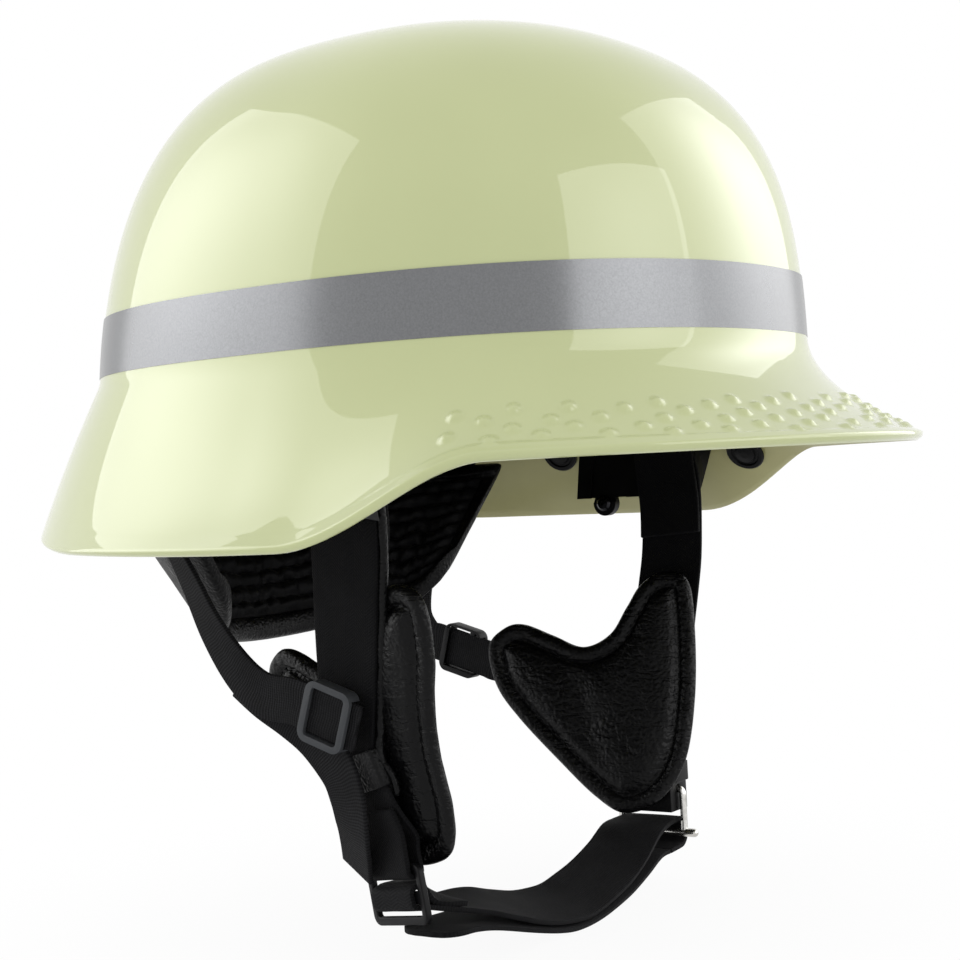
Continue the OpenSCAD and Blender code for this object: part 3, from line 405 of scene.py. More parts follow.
# Plated steel, drawn and tumbled, so its fine scratches run every way and its shine is uneven
def steelMaterial(name, dark, light):
    material, tree, shader = newMaterial(name, Metallic=1.0, Roughness=0.18)
    spot = {"Vector": (addNode(tree, "TexCoord"), "Object")}
    tarnish = addNode(tree, "TexNoise", {"Scale": 300.0, "Detail": 6.0}, spot)
    tone = addNode(tree, "ValToRGB", None, {"Fac": (tarnish, "Fac")}, [(0.3, dark), (0.7, light)])
    shine = addNode(tree, "MapRange", {"To Min": 0.1, "To Max": 0.34}, {"Value": (tarnish, "Fac")})
    scratch = addNode(tree, "TexNoise", {"Scale": 2500.0, "Detail": 2.0}, spot)
    bump = addNode(tree, "Bump", {"Strength": 0.12, "Distance": 0.03 * mm}, {"Height": (scratch, "Fac")})
    linkShader(tree, shader, {"Base Color": (tone, "Color"), "Roughness": (shine, "Result"),
                              "Normal": (bump, "Normal")})
    return material


# Sweatband leather, dyed brown-black and punched every 4 mm so that it breathes
def sweatbandMaterial(name, dark, light):
    material, tree, shader = newMaterial(name, Roughness=0.5)
    perMetre = 1 / (4 * mm)
    holes = addNode(tree, "VectorMath", {"operation": "MULTIPLY", 1: (perMetre, perMetre, 0.0)},
                    {0: (addNode(tree, "UVMap"), "UV")})
    cell = addNode(tree, "VectorMath", {"operation": "FRACTION"}, {0: (holes, "Vector")})
    away = addNode(tree, "VectorMath", {"operation": "DISTANCE", 1: (0.5, 0.5, 0.0)}, {0: (cell, "Vector")})
    hole = addNode(tree, "MapRange", {"From Min": 0.1, "From Max": 0.16}, {"Value": (away, "Value")})
    tone = addNode(tree, "ValToRGB", None, {"Fac": (hole, "Result")}, [(0.0, dark), (1.0, light)])
    cells = addNode(tree, "TexVoronoi", {"Scale": 1300.0, "feature": "DISTANCE_TO_EDGE"},
                    {"Vector": (addNode(tree, "TexCoord"), "Object")})
    first = addNode(tree, "Bump", {"Strength": 0.3, "Distance": 0.1 * mm}, {"Height": (cells, "Distance")})
    bump = addNode(tree, "Bump", {"Strength": 0.6, "Distance": 0.4 * mm},
                   {"Height": (hole, "Result"), "Normal": (first, "Normal")})
    linkShader(tree, shader, {"Base Color": (tone, "Color"), "Normal": (bump, "Normal")})
    return material


lacquer = paintMaterial("luminousLacquer", "#c0c793", "#c5cc98")
# The inside's lacquer colours are painted darker than the outside's, as painted shade
innerLacquerPaintedShade = shadedInnerPaintMaterial("innerLacquerPaintedShade", "#a6a26b", "#b0ad77")
tape = tapeMaterial("beadedTape", "#707173", "#797a7c")
frontWebbing = webbingMaterial("frontWebbing", "#060607", "#111113", rib=1.1, slant=1.0)
# The ribbed webbing's colours are painted lighter than the front webbing's, as painted light where the rear straps
# catch the light
rearWebbingPaintedLight = webbingMaterial("ribbedWebbingPaintedLight", "#080809", "#242426", rib=0.95, slant=0.12)
chinWebbing = webbingMaterial("chinWebbing", "#060607", "#171719", rib=0.9, slant=0.3, fuzz=0.9)
crownWebbing = webbingMaterial("crownWebbing", "#161718", "#2c2d30", rib=1.3, slant=0.0)
padThread = webbingMaterial("waxedThread", "#0c0c0d", "#1d1d1e", rib=0.9, slant=0.0, fuzz=0.4)
padLeather = leatherMaterial("nappaLeather", "#050506", "#0d0d0e", grain=1.6, crease=0.8, gloss=0.33)
napeLeather = leatherMaterial("napeLeather", "#050506", "#0c0c0d", grain=1.2, crease=0.3, gloss=0.42)
liningCloth = liningMaterial("napeLining", "#050506", "#0e0e10")
crownCloth = liningMaterial("crownCloth", "#121315", "#1e1f22")
linerPlastic = plasticMaterial("linerPolyethylene", "#18191a", "#202122", rough=0.5)
anchorPlastic = plasticMaterial("anchorNylon", "#070708", "#0e0e0f", rough=0.4, grain=0.5)
sliderGrey = plasticMaterial("greyAcetal", "#3b3d40", "#444649", rough=0.45, grain=0.35, depth=0.3)
sliderBlack = plasticMaterial("blackAcetal", "#080809", "#0f0f11", rough=0.42)
steel = steelMaterial("nickelSteel", "#b9b7b2", "#dcdbd8")
screwSteel = steelMaterial("blackedSteel", "#1a1a1c", "#2e2e31")
sweatLeather = sweatbandMaterial("punchedSweatLeather", "#060504", "#33281f")
print("materials made:", len(bpy.data.materials))

# Shell. reach and drop give the flare's width and fall at degrees from the front, and the weights bend it.
shellForm = {
    "halfWidth": 106.5, "front": 118.5, "rear": 129.5, "domeHeight": 112.5, "domeRoot": 23.5, "wall": 3.0,
    "planPower": 2.3, "reach": [(0, 41), (50, 25.5), (86, 29.4), (150, 22.7)],
    "drop": [(0, 33.4), (56, 33.4), (82, 56.6), (115, 56.6), (160, 49.6)],
    "frontWeight": (0.078, 0.503), "sideWeight": (0.306, 0.687), "rearWeight": (0.717, 0.49),
    "lipWidth": 4.0, "lipHeight": 0.4, "lipFades": (84, 50), "rimRoll": 0.9,
    "pearlRadius": 2.9, "pearlHeight": 1.25, "pearlEdge": 5.5, "pearlRow": 6.0, "pearlStep": 4, "pearlCount": 15,
    "pearlReach": 0.62, "pearlDrift": (1.6, 1.1)}
# How finely it is drawn: the front with its pearls in small steps, and the rows of dome, foot and flare
shellGrid = {"fineTurn": 66, "fineStep": 0.4, "coarseStep": 1.2, "domeRows": 26, "domeShare": 0.8,
             "footRows": 18, "flareRows": 60, "innerFlareStep": 4, "innerDomeStep": 3}
tapeForm = {"low": 1.4, "high": 21.8, "lift": 0.35, "thick": 0.3, "rows": 9, "turnStep": 0.75}


def stationValue(stations, angle):
    angle = np.abs((angle + 180) % 360 - 180)
    out = np.full_like(angle, stations[-1][1], dtype=float)
    for (a, va), (b, vb) in reversed(list(zip(stations, stations[1:]))):
        out = np.where(angle <= b, va + (vb - va) * ease((angle - a) / (b - a)), out)
    return out


def planPoint(angle):
    s, c = np.sin(np.radians(angle)), np.cos(np.radians(angle))
    length = np.where(c > 0, shellForm["front"], shellForm["rear"])
    e = 2 / shellForm["planPower"]
    return np.stack([-shellForm["halfWidth"] * signedPower(s, e), -length * signedPower(c, e)], -1)


def planNormal(angle):
    p = planPoint(angle)
    length = np.where(np.cos(np.radians(angle)) > 0, shellForm["front"], shellForm["rear"])
    k = shellForm["planPower"] - 1
    w = shellForm["halfWidth"]
    return unit(np.stack([signedPower(p[..., 0] / w, k) / w, signedPower(p[..., 1] / length, k) / length], -1))


# A row of the dome, either at a share of its plan or at a height
def domeRow(angle, share=None, height=None):
    c = np.cos(np.radians(angle))
    q, p = 2.83 + 0.94 * c, 3.04 - 0.6 * c      # how square its profile is, from the front to the rear
    root, top = shellForm["domeRoot"], shellForm["domeHeight"]
    t0 = root / (top + root)
    if height is None:
        t = (1 - share ** p * (1 - t0 ** q)) ** (1 / q)
        height = t * (top + root) - root
    else:
        t = (height + root) / (top + root)
        share = (np.maximum(1 - t ** q, 0) / (1 - t0 ** q)) ** (1 / p)
    xy = planPoint(angle) * (share * np.ones_like(angle))[:, None]
    return np.column_stack([xy, height * np.ones_like(angle)])


def flareWeights(angle):
    c = np.cos(np.radians(angle))
    f, r = np.maximum(c, 0), np.maximum(-c, 0)
    front, rear, side = (shellForm[k] for k in ("frontWeight", "rearWeight", "sideWeight"))
    mixed = [front[i] * f + rear[i] * r + side[i] * (1 - f - r) for i in (0, 1)]
    mixed[0] = np.where(np.abs(mixed[0] - 0.5) < 1e-4, 0.5001, mixed[0])     # keeps flareRow's root solvable
    return mixed


def flareRow(angle, part):
    c, h = flareWeights(angle)
    s = (np.sqrt(np.maximum(c * c + (1 - 2 * c) * part, 0)) - c) / (1 - 2 * c)
    down = stationValue(shellForm["drop"], angle) * (2 * s * (1 - s) * h + s * s)
    xy = planPoint(angle) + planNormal(angle) * (stationValue(shellForm["reach"], angle) * part)[:, None]
    return np.column_stack([xy, -down])


def shellRows():
    g = shellGrid
    angle = np.concatenate([np.arange(-g["fineTurn"], g["fineTurn"], g["fineStep"]),
                            np.arange(g["fineTurn"], 360 - g["fineTurn"], g["coarseStep"])])
    shares = np.linspace(0.0001, g["domeShare"], g["domeRows"])
    rows = [domeRow(angle, share=np.full_like(angle, s)) for s in shares]
    high = rows[-1][:, 2]
    rows += [domeRow(angle, height=high * (1 - k / g["footRows"])) for k in range(1, g["footRows"] + 1)]
    parts = np.arange(1, g["flareRows"] + 1) / g["flareRows"] * (1 - shellForm["rimRoll"] / shellForm["reach"][0][1])
    rows += [flareRow(angle, np.full_like(angle, e)) for e in parts]
    return angle, np.array(rows), parts


# Staggered pearls over the brim, each a little off its even place
def pearlCentres():
    s = shellForm
    centres = []
    for j in range(-s["pearlCount"], s["pearlCount"] + 1):
        turn = np.array([j * s["pearlStep"]], float)
        reach = stationValue(s["reach"], turn)[0]
        away = s["pearlEdge"] + (0 if j % 2 == 0 else s["pearlRow"] / 2)
        while away <= reach * s["pearlReach"]:
            drift = noise.noise(Vector((j * 1.7, away * 0.9, 2))) * np.array(s["pearlDrift"])
            centres.append(flareRow(turn + drift[0], np.array([1 - (away + drift[1]) / reach]))[0])
            away += s["pearlRow"]
    return centres


def makeShell():
    angle, rows, parts = shellRows()
    crease = shellGrid["domeRows"] + shellGrid["footRows"] - 1
    for _ in range(3):      # the crease between dome and flare is moulded round
        soft = rows.copy()
        for i in range(crease - 1, crease + 3):
            soft[i] = (rows[i - 1] + rows[i] * 2 + rows[i + 1]) / 4
        rows = soft
    around = np.roll(rows, -1, axis=1) - np.roll(rows, 1, axis=1)
    normals = unit(np.cross(around, np.gradient(rows, axis=0)))
    normals[0] = (0, 0, 1)
    reach = stationValue(shellForm["reach"], angle)
    turned = np.abs((angle + 180) % 360 - 180)
    gone, whole = shellForm["lipFades"]
    lipShare = 0.1 + 0.9 * ease((gone - turned) / (gone - whole))      # it fades out behind the brow
    base = rows.copy()
    for i, part in enumerate(parts):        # the raised lip along the rim
        away = reach * (1 - part)
        lift = shellForm["lipHeight"] * ease((shellForm["lipWidth"] + 0.5 - away) / 0.9) * lipShare
        rows[crease + 1 + i] += normals[crease + 1 + i] * lift[:, None]
    flare = base[crease + 1:]
    centres = pearlCentres()
    lift = np.zeros(flare.shape[:2])
    for c in centres:       # pearls pressed out of the brim
        d = np.linalg.norm(flare - c, axis=2) / shellForm["pearlRadius"]
        lift = np.maximum(lift, np.where(d < 1, (np.cos(np.pi * np.minimum(d, 1)) + 1) / 2, 0) ** 0.8)
    rows[crease + 1:] += normals[crease + 1:] * (lift * shellForm["pearlHeight"])[:, :, None]
    # Round the rim, then back up the inside
    last, lastNormal = rows[-1], normals[-1]
    outwards = unit(base[-1] - base[-3])
    wall = shellForm["wall"]
    roll = []
    for a in np.radians(np.linspace(0, 180, 8)[1:-1]):
        roll.append(last - lastNormal * (wall / 2 * (1 - math.cos(a))) + outwards * shellForm["rimRoll"] * math.sin(a))
    back = list(range(len(base) - 1, crease, -shellGrid["innerFlareStep"]))
    back += list(range(crease, 0, -shellGrid["innerDomeStep"])) + [0]
    inner = [base[i] - normals[i] * wall for i in back]
    everything = np.concatenate([rows, np.array(roll), np.array(inner)])
    piece = layGrid("shellLacquered", everything, closed=True, merge=0.02)
    setMaterial(piece, lacquer)
    piece.data.materials.append(innerLacquerPaintedShade)
    count = len(piece.data.polygons)
    centre, facing = np.zeros(count * 3), np.zeros(count * 3)
    piece.data.polygons.foreach_get("center", centre)
    piece.data.polygons.foreach_get("normal", facing)
    outFrom = np.array([0, 5, -60])         # faces that look towards this point inside the helmet are inner ones
    inwards = (facing.reshape(-1, 3) * (centre.reshape(-1, 3) / mm - outFrom)).sum(1) < 0
    # The inner faces take the lacquer with the painted shade
    piece.data.polygons.foreach_set("material_index", inwards.astype(np.int32))
    finishPiece(piece, None, 50, "helmet", "shell")
    print("shell made:", count, "faces,", len(centres), "pearls")


def makeTape():
    turns = np.arange(0, 360, tapeForm["turnStep"])
    rows = []
    for z in np.linspace(tapeForm["high"], tapeForm["low"], tapeForm["rows"]):
        here, above = domeRow(turns, height=z), domeRow(turns, height=z + 0.5)
        around = np.roll(here, -1, axis=0) - np.roll(here, 1, axis=0)
        rows.append(here + unit(np.cross(around, here - above)) * tapeForm["lift"])
    band = layGrid("tapeBand", rows, closed=True)
    addModifier(band, "SOLIDIFY", thickness=tapeForm["thick"] * mm, offset=-1)
    finishPiece(band, tape, 40, "helmet", "reflective_band")


makeShell()
makeTape()
print("tape laid")

# Webbing. Each route is a list of points, each with the way the strap faces there.
strap = {"front": 25.0, "rear": 14.8, "join": 16.0, "chin": 23.0, "thick": 1.6, "gap": 0.4, "step": 0.9, "edge": 0.4}
sliders = {
    "near": {"middle": (-87.6, -3.6, -111.3), "run": (0, -0.95, -0.31), "out": (-1, 0, 0)},
    "far": {"middle": (84, 64.5, -110), "run": (0, -0.96, -0.28), "out": (1, 0, 0)},
    "length": 18.0, "rail": 2.1, "bar": 2.4, "barThick": 1.5, "gap": 0.4, "corner": 3.6, "windowCorner": 1.2,
    "slot": (11.5, 1.3), "slotAt": -2.2, "hole": 0.55, "holeAt": 6.2, "slotInRail": 0.45}
chinSlider = {
    "top": (-73.5, -14.9, -159.4), "run": (-0.014, -0.172, -0.985), "side": (-0.336, -0.927, 0.167),
    "bars": [(0, 2.8), (8.6, 12.6), (16.2, 19)], "width": 31.0, "thick": 2.2, "corner": 3.4, "slotCorner": 0.9}
ring = {"x": 79.8, "y": -22.0, "pinZ": -177.3, "wire": 2.6, "height": 16.6, "inside": 24.0, "bend": 2.2,
        "pinGrow": 0.3, "loopGap": 2.7, "head": 2.4}
rearAnchor = {"turn": 119.5, "share": 0.3, "inset": 6.8, "above": 8, "below": 7.5}

nearFront = [
    ((-99.6, -22.5, -20), (-1, 0, 0)), ((-99.6, -22.5, -30), (-1, 0, 0)), ((-99.6, -22.4, -38), (-1, 0, -0.05)),
    ((-97.2, -21.5, -50), (-1, 0, -0.2)), ((-90.5, -15.5, -72), (-1, 0.05, -0.25)),
    ((-83.2, -8.5, -96), (-0.99, 0.12, -0.2)), ((-79, -4.8, -112), (-0.98, 0.22, -0.1)),
    ((-77.6, -5.6, -127), (-0.93, 0.38, 0)), ((-76, -10.4, -139.5), (-0.92, 0.38, -0.05))]
nearLining = [
    ((-96.4, -24, -21), (-1, 0, 0)), ((-96.4, -24.5, -38), (-1, 0, -0.05)),
    ((-93.4, -23, -50), (-1, 0.02, -0.25)), ((-89.9, -18.6, -66), (-1, 0.05, -0.25))]
nearJoin = [
    ((-85, 34, -100.5), (-0.99, 0.1, -0.03)), ((-84.4, 25.5, -106.5), (-1, 0.04, 0)),
    ((-83.2, 16, -112), (-1, 0, 0)), ((-82.4, 8, -117.5), (-1, 0.04, 0)),
    ((-82.8, 1.5, -123.5), (-0.99, 0.1, 0)), ((-83, -3.4, -130.5), (-0.985, 0.17, 0)),
    ((-82.4, -5.4, -138.5), (-0.98, 0.2, 0)), ((-80.8, -5.2, -147), (-0.96, 0.28, -0.1)),
    ((-77.4, -3.4, -155), (-0.94, 0.33, -0.15)), ((-73.8, -1, -162.5), (-0.94, 0.33, -0.1))]
farFront = [
    ((99.6, -24, -20), (1, 0, 0)), ((99.6, -24.2, -30), (1, 0, 0)), ((99.6, -25, -38), (1, 0, -0.05)),
    ((97.4, -28, -50), (1, 0, -0.2)), ((93.2, -28.8, -74), (1, 0.04, -0.2)), ((88.6, -26.5, -100), (1, 0.08, -0.2)),
    ((84.6, -24.5, -125), (1, 0.05, -0.18)), ((81.6, -22.6, -139.5), (1, 0, -0.1)),
    ((80.4, -22, -145.9), (1, 0, 0)), ((80.1, -22, -150.6), (1, 0, 0))]
farLining = [
    ((96.4, -25, -21), (1, 0, 0)), ((96.4, -26, -38), (1, 0, -0.05)), ((94.2, -28.5, -54), (1, 0, -0.22)),
    ((91.8, -29.5, -66), (1, 0, -0.2))]

# The near front strap goes round the top bar of the chin slider and is turned back up
chinRun = unit(chinSlider["run"])
chinOut = unit(np.cross(chinRun, chinSlider["side"]))
chinOff = chinSlider["thick"] / 2 + strap["gap"] + strap["thick"] / 2
topBar, midBar = chinSlider["bars"][:2]
returnX = topBar[1] + strap["gap"] + strap["thick"] / 2


def chinAt(x, z):
    return np.array(chinSlider["top"]) + chinRun * x + chinOut * z


nearReturn = [(chinAt(x, z), facing) for x, z, facing in (
    (-9, -chinOff - 0.2, chinOut), (-4, -chinOff, chinOut), (0, -chinOff, chinOut),
    (returnX - 1.2, -chinOff, chinOut), (returnX - 0.2, -1.3, chinOut - chinRun), (returnX, 0, -chinRun),
    (returnX - 0.2, 1.3, -chinOut - chinRun), (returnX - 1.2, chinOff, -chinOut), (0, chinOff, -chinOut),
    (-4, chinOff, -chinOut), (-9, chinOff, -chinOut), (-13, chinOff + 0.7, -chinOut),
    (-17.5, chinOff + 2.2, -chinOut))]


# The rear webbing starts on its anchor, under the shell's flare. The far side mirrors the near one.
def onAnchor(mirror):
    a = rearAnchor
    turn, s = np.array([a["turn"]]), a["share"]
    part = 2 * s * (1 - s) * flareWeights(turn)[0][0] + s * s
    here = flareRow(turn, np.array([part]))[0]
    around = flareRow(turn + 0.5, np.array([part]))[0] - flareRow(turn - 0.5, np.array([part]))[0]
    out = unit(np.cross(around, here - flareRow(turn, np.array([part - 0.02]))[0]))
    start = here - out * (a["inset"] + strap["thick"] / 2)
    down = unit(np.array([0, 0, -1]) + out * out[2])
    return [((start + down * d) * (mirror, 1, 1), out * (mirror, 1, 1)) for d in (-a["above"], 0, a["below"])]


def alongSlider(which, stops):
    s = sliders[which]
    return [(np.array(s["middle"]) + unit(s["run"]) * d, s["out"]) for d in stops]


nearRear = onAnchor(1) + [
    ((-98.6, 69.2, -36), (-0.86, 0.42, 0.2)), ((-96.6, 63.6, -43), (-0.84, 0.5, 0.05)),
    ((-93.2, 56.5, -52), (-0.82, 0.55, -0.05)), ((-90.4, 49.5, -67), (-0.87, 0.45, -0.1)),
    ((-88.6, 42, -84), (-0.93, 0.3, -0.1)), ((-87.6, 32.5, -97.5), (-0.98, 0.15, -0.05)),
    ((-87.4, 22.5, -105), (-1, 0.05, 0))] + alongSlider("near", [-13.5, 0, 6, 12])
farRear = onAnchor(-1) + [
    ((98.6, 73, -36), (0.88, 0.36, 0.2)), ((96, 76, -43.5), (0.92, 0.33, 0.08)), ((92.5, 79.5, -53), (0.95, 0.3, 0)),
    ((88.5, 87, -74), (1, 0.1, 0)), ((85, 88, -94), (1, 0, 0))] + alongSlider("far", [-18, -12.5, 0, 12.5, 18]) + [
    ((85.5, 20, -119.5), (1, 0.02, 0)), ((88.8, -16, -121), (1, 0.05, 0))]

# The chin strap goes over the slider's middle bar, under the chin and round the pin of the ring
pinRadius = ring["wire"] / 2 + ring["pinGrow"]
loopRadius = pinRadius + ring["loopGap"] + strap["thick"] / 2
barMid = sum(midBar) / 2
barHalf = (midBar[1] - midBar[0]) / 2 + strap["gap"] + strap["thick"] / 2 + 0.3


def roundPin(degrees):
    s, c = math.sin(math.radians(degrees)), math.cos(math.radians(degrees))
    return (ring["x"] + loopRadius * s, ring["y"], ring["pinZ"] + loopRadius * c), (s, 0, c)


chinStrap = [
    ((-58, -23.3, -172.6), (0, 0, -1)), ((-64, -21.2, -169.6), (0.3, 0, -1)),
    (chinAt(barMid - barHalf - 0.3, -3.6), chinRun), (chinAt(barMid - barHalf, -0.6), chinRun),
    (chinAt(barMid - barHalf + 1, chinOff - 0.3), chinRun - chinOut), (chinAt(barMid, chinOff), -chinOut),
    (chinAt(barMid + barHalf - 1, chinOff - 0.3), -chinRun - chinOut),
    (chinAt(barMid + barHalf, -0.6), -chinRun), (chinAt(barMid + barHalf + 0.2, -3.6), -chinRun),
    ((-65.5, -20.6, -173.4), (0.25, -0.05, 1)), ((-57.5, -23.4, -174.6), (0.25, -0.12, 1)),
    ((-48, -26.2, -176), (0.28, -0.26, 1)), ((-39, -27.8, -178.2), (0.3, -0.36, 1)),
    ((-28, -28.8, -181.6), (0.28, -0.39, 1)), ((-16, -29, -184.6), (0.18, -0.39, 1)),
    ((-5, -29, -186.2), (0.05, -0.39, 1)), ((6, -28.8, -186.6), (-0.05, -0.39, 1)),
    ((19, -28, -185), (-0.13, -0.38, 1)), ((33, -27, -182.4), (-0.24, -0.36, 1)),
    ((47, -25.4, -178.4), (-0.36, -0.28, 1)), ((60, -23.6, -173.6), (-0.3, -0.16, 1)),
    ((70.5, -22.2, ring["pinZ"] + loopRadius - 0.3), (-0.08, -0.04, 1))] + [
    roundPin(a) for a in range(0, 181, 30)] + [((72, -22, -182.9), (0, 0, -1))]
chinTail = [
    ((71.2, -22, -182.9), (0, 0, -1)), ((66, -22.2, -182.5), (0.05, 0.04, -1)), ((59, -23.4, -182.3), (0.2, 0.14, -1)),
    ((47, -25.4, -184), (0.22, 0.26, -1)), ((33, -27, -186.4), (0.18, 0.34, -1)), ((19, -28, -188.2), (0.1, 0.38, -1)),
    ((6, -28.8, -189.2), (0.03, 0.39, -1)), ((-5, -29, -189), (-0.05, 0.39, -1)),
    ((-16, -29, -187.6), (-0.16, 0.37, -1)), ((-28, -28.8, -185.2), (-0.2, 0.32, -1)),
    ((-40, -28.4, -182.9), (-0.18, 0.22, -1)), ((-52, -28, -181), (-0.14, 0.1, -1)),
    ((-62, -28, -179.8), (-0.06, 0.03, -1)), ((-69, -28, -179.3), (0, 0, -1)), ((-77.5, -28, -179.2), (0, 0, -1))]


# Webbing laid over rows, with its thickness and its eased edges
def weaveSheet(name, rows, run, across, thick):
    piece = layGrid(name, rows, run=run, across=across, merge=0)
    addModifier(piece, "SOLIDIFY", thickness=thick * mm, offset=0)
    roundEdges(piece, strap["edge"], 2, 50)
    return piece


# A strap along a route. soft is how far it waves, tip rounds its end and endWidth widens it.
def sewStrap(name, route, width, material, body, node, slot, thick=None, steps=14, soft=0.25, tip=0, endWidth=None):
    path, facing = routeCurve(route, steps)
    run = runOf(path)
    even = np.linspace(0, run[-1], max(int(run[-1] / strap["step"]), 12))
    path, facing = (np.column_stack([np.interp(even, run, v[:, i]) for i in range(3)]) for v in (path, facing))
    ahead, side = routeAxes(path, facing)
    out = np.cross(ahead, side)
    share = np.linspace(-1, 1, 13)
    half = np.full(len(even), width / 2)
    if endWidth:
        half = half + (endWidth - width) / 2 * ease(2 * even / even[-1])
    if tip:
        left = np.clip((even[-1] - even) / tip, 0, 1)
        half = half * (0.25 + 0.75 * np.sqrt(1 - (1 - left) ** 2))
    rows = path[:, None] + side[:, None] * (share[None, :, None] * half[:, None, None])
    if soft:
        for row, away in zip(rows, out):
            for p in row:
                p += away * soft * noise.noise(Vector(p / 14))
    piece = weaveSheet(name, rows, even, share * width / 2, thick or strap["thick"])
    return finishPiece(piece, material, 60, body, node)


for name, route, width, material, node, more in (
        ("nearFrontWebbing", nearFront + nearReturn, strap["front"], frontWebbing, "near_front_strap", {}),
        ("nearFrontBacking", nearLining, strap["front"], frontWebbing, "near_front_strap_lining", {"soft": 0.1}),
        ("nearJoinWebbing", nearJoin, strap["rear"] - 1, rearWebbingPaintedLight, "near_join_strap",
         {"soft": 0.1, "endWidth": strap["join"]}),
        ("farFrontWebbing", farFront, strap["front"], frontWebbing, "far_front_strap", {}),
        ("farFrontBacking", farLining, strap["front"], frontWebbing, "far_front_strap_lining", {"soft": 0.1}),
        ("chinWebbing", chinStrap, strap["chin"], chinWebbing, "chin_strap", {"soft": 0.2}),
        ("chinTail", chinTail, strap["chin"], chinWebbing, "chin_strap_tail", {"soft": 0.2, "tip": 9})):
    sewStrap(name, route, width, material, "harness", node, "black_webbing", **more)
# Each rear strap, with two points given in metres. The far slider is nearer its anchor, so its two points lie above
# it.
for side, route, start, end in (("near", nearRear, (-0.095, 0.065, -0.045), (-0.087, 0.03, -0.1)),
                                ("far", farRear, (0.096, 0.076, -0.043), (0.085, 0.085, -0.09))):
    piece = sewStrap(side + "RearWebbing", route, strap["rear"], rearWebbingPaintedLight, None, side + "_rear_strap",
                     "black_webbing", soft=0)
    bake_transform(piece)
print("webbing sewn")

# Side cushions. Their outlines lie in a plane, and edge gives the distance from the edge and the half thickness
# there: rolled binding, sewn channel, then the cushion. The valley lies where the two arms of the cushion meet.
padForm = {
    "origin": (62, 36.4, -109.3), "normal": (0.949, 0.241, -0.2), "forward": (0.246, -0.969, 0),
    "nearMove": (0, 3, 5), "middle": (50, -10), "crown": 4.6, "deep": 17.0, "rings": 22,
    "far": [(-0.5, 3), (6, 10.4), (14, 11.6), (26, 7), (38, 2.4), (48.5, 7), (55, 17), (61, 26), (70, 30.4),
            (79, 27), (81.6, 8), (81.4, -18), (77.5, -41), (68, -55), (54.5, -60), (43, -54), (28.8, -41),
            (12.6, -24.8), (3, -12)],
    "near": [(-0.5, 3), (6, 10.4), (14, 11.6), (26, 7), (38, 2.4), (48.5, 7), (55, 17), (61, 26.5), (70, 33), (80, 34),
             (87, 28), (86, 12), (81, -4), (78.5, -20), (79, -38), (75, -51), (65, -56.5), (53, -58), (44.7, -55.6),
             (28.8, -41), (12.6, -24.8), (3, -12)],
    "edge": [(0.0, 0.0), (0.25, 0.95), (0.8, 1.75), (1.7, 2.3), (2.9, 2.5), (4.1, 2.35), (5.0, 1.95), (5.6, 1.4),
             (6.0, 1.0), (6.5, 1.1), (7.3, 1.9)],
    "pucker": 0.16, "puckerStep": 6.1, "valley": 1.5, "valleyAt": 35, "valleyLean": 0.25, "valleyWidth": 6.5,
    "stitchIn": 6.1, "stitchStep": 3.4, "stitchEnds": (0.15, 0.8), "stitchUp": 1.15, "stitchWide": 0.55}


def padOutline(side):
    outline = curveThrough(padForm[side], 12, closed=True)
    ahead = unit(np.roll(outline, -1, axis=0) - np.roll(outline, 1, axis=0))
    inward = np.stack([ahead[:, 1], -ahead[:, 0]], 1)
    if ((outline + inward - padForm["middle"]) ** 2).sum() > ((outline - padForm["middle"]) ** 2).sum():
        inward = -inward
    return outline, inward


def edgeDistance(points, outline):
    best = np.full(len(points), 1e9)
    for a, ab in zip(outline, np.roll(outline, -1, axis=0) - outline):
        t = np.clip(((points - a) @ ab) / (ab @ ab), 0, 1)
        best = np.minimum(best, np.linalg.norm(points - a - t[:, None] * ab, axis=1))
    return best


padNormal, padAhead = unit(padForm["normal"]), unit(padForm["forward"])


# Points of the far cushion's plane, at heights over it
def onPad(p, height):
    down = np.cross(padNormal, padAhead)
    return np.array(padForm["origin"], float) + padAhead * p[:, :1] - down * p[:, 1:] - padNormal * height[:, None]


# The near cushion's plane is the far one's, mirrored and moved
def nearOrFar(side, q):
    return q * (-1, 1, 1) + np.array(padForm["nearMove"]) if side == "near" else q


def padRows(side):
    pf = padForm
    outline, inward = padOutline(side)
    rows = [(outline + inward * d, np.full(len(outline), w)) for d, w in pf["edge"]]
    start, (channel, low) = rows[-1][0], pf["edge"][-1]
    middle = np.array(pf["middle"], float)
    run = runOf(outline)
    inner = []
    for share in np.linspace(0.95, 0.02, pf["rings"]):
        p = middle + (start - middle) * share
        d = edgeDistance(p, outline)
        t = np.clip((d - channel) / (pf["deep"] - channel), 0, 1)
        h = low + (pf["crown"] - low) * np.sqrt(1 - (1 - t) ** 2)
        wave = np.sin(run * 2 * np.pi / pf["puckerStep"] + 3 * np.sin(run / 23))
        pucker = pf["pucker"] * wave * np.exp(-(d - 7) / 3.2) * ease((d - 7.2) / 1.5)
        across = p[:, 0] - pf["valleyAt"] + pf["valleyLean"] * (p[:, 1] + 10)
        valley = pf["valley"] * np.exp(-(across / pf["valleyWidth"]) ** 2) * ease((d - 8) / 6)
        inner.append((p, h + pucker - valley))
    heights = np.array([h for _, h in inner])
    for _ in range(3):      # eases the ridge where the two arms of the cushion meet
        soft = heights.copy()
        soft[2:-1] = (heights[1:-2] + heights[2:-1] + heights[3:]) / 3
        heights = (soft + np.roll(soft, 1, axis=1) + np.roll(soft, -1, axis=1)) / 3
    return rows + [(p, h) for (p, _), h in zip(inner, heights)]


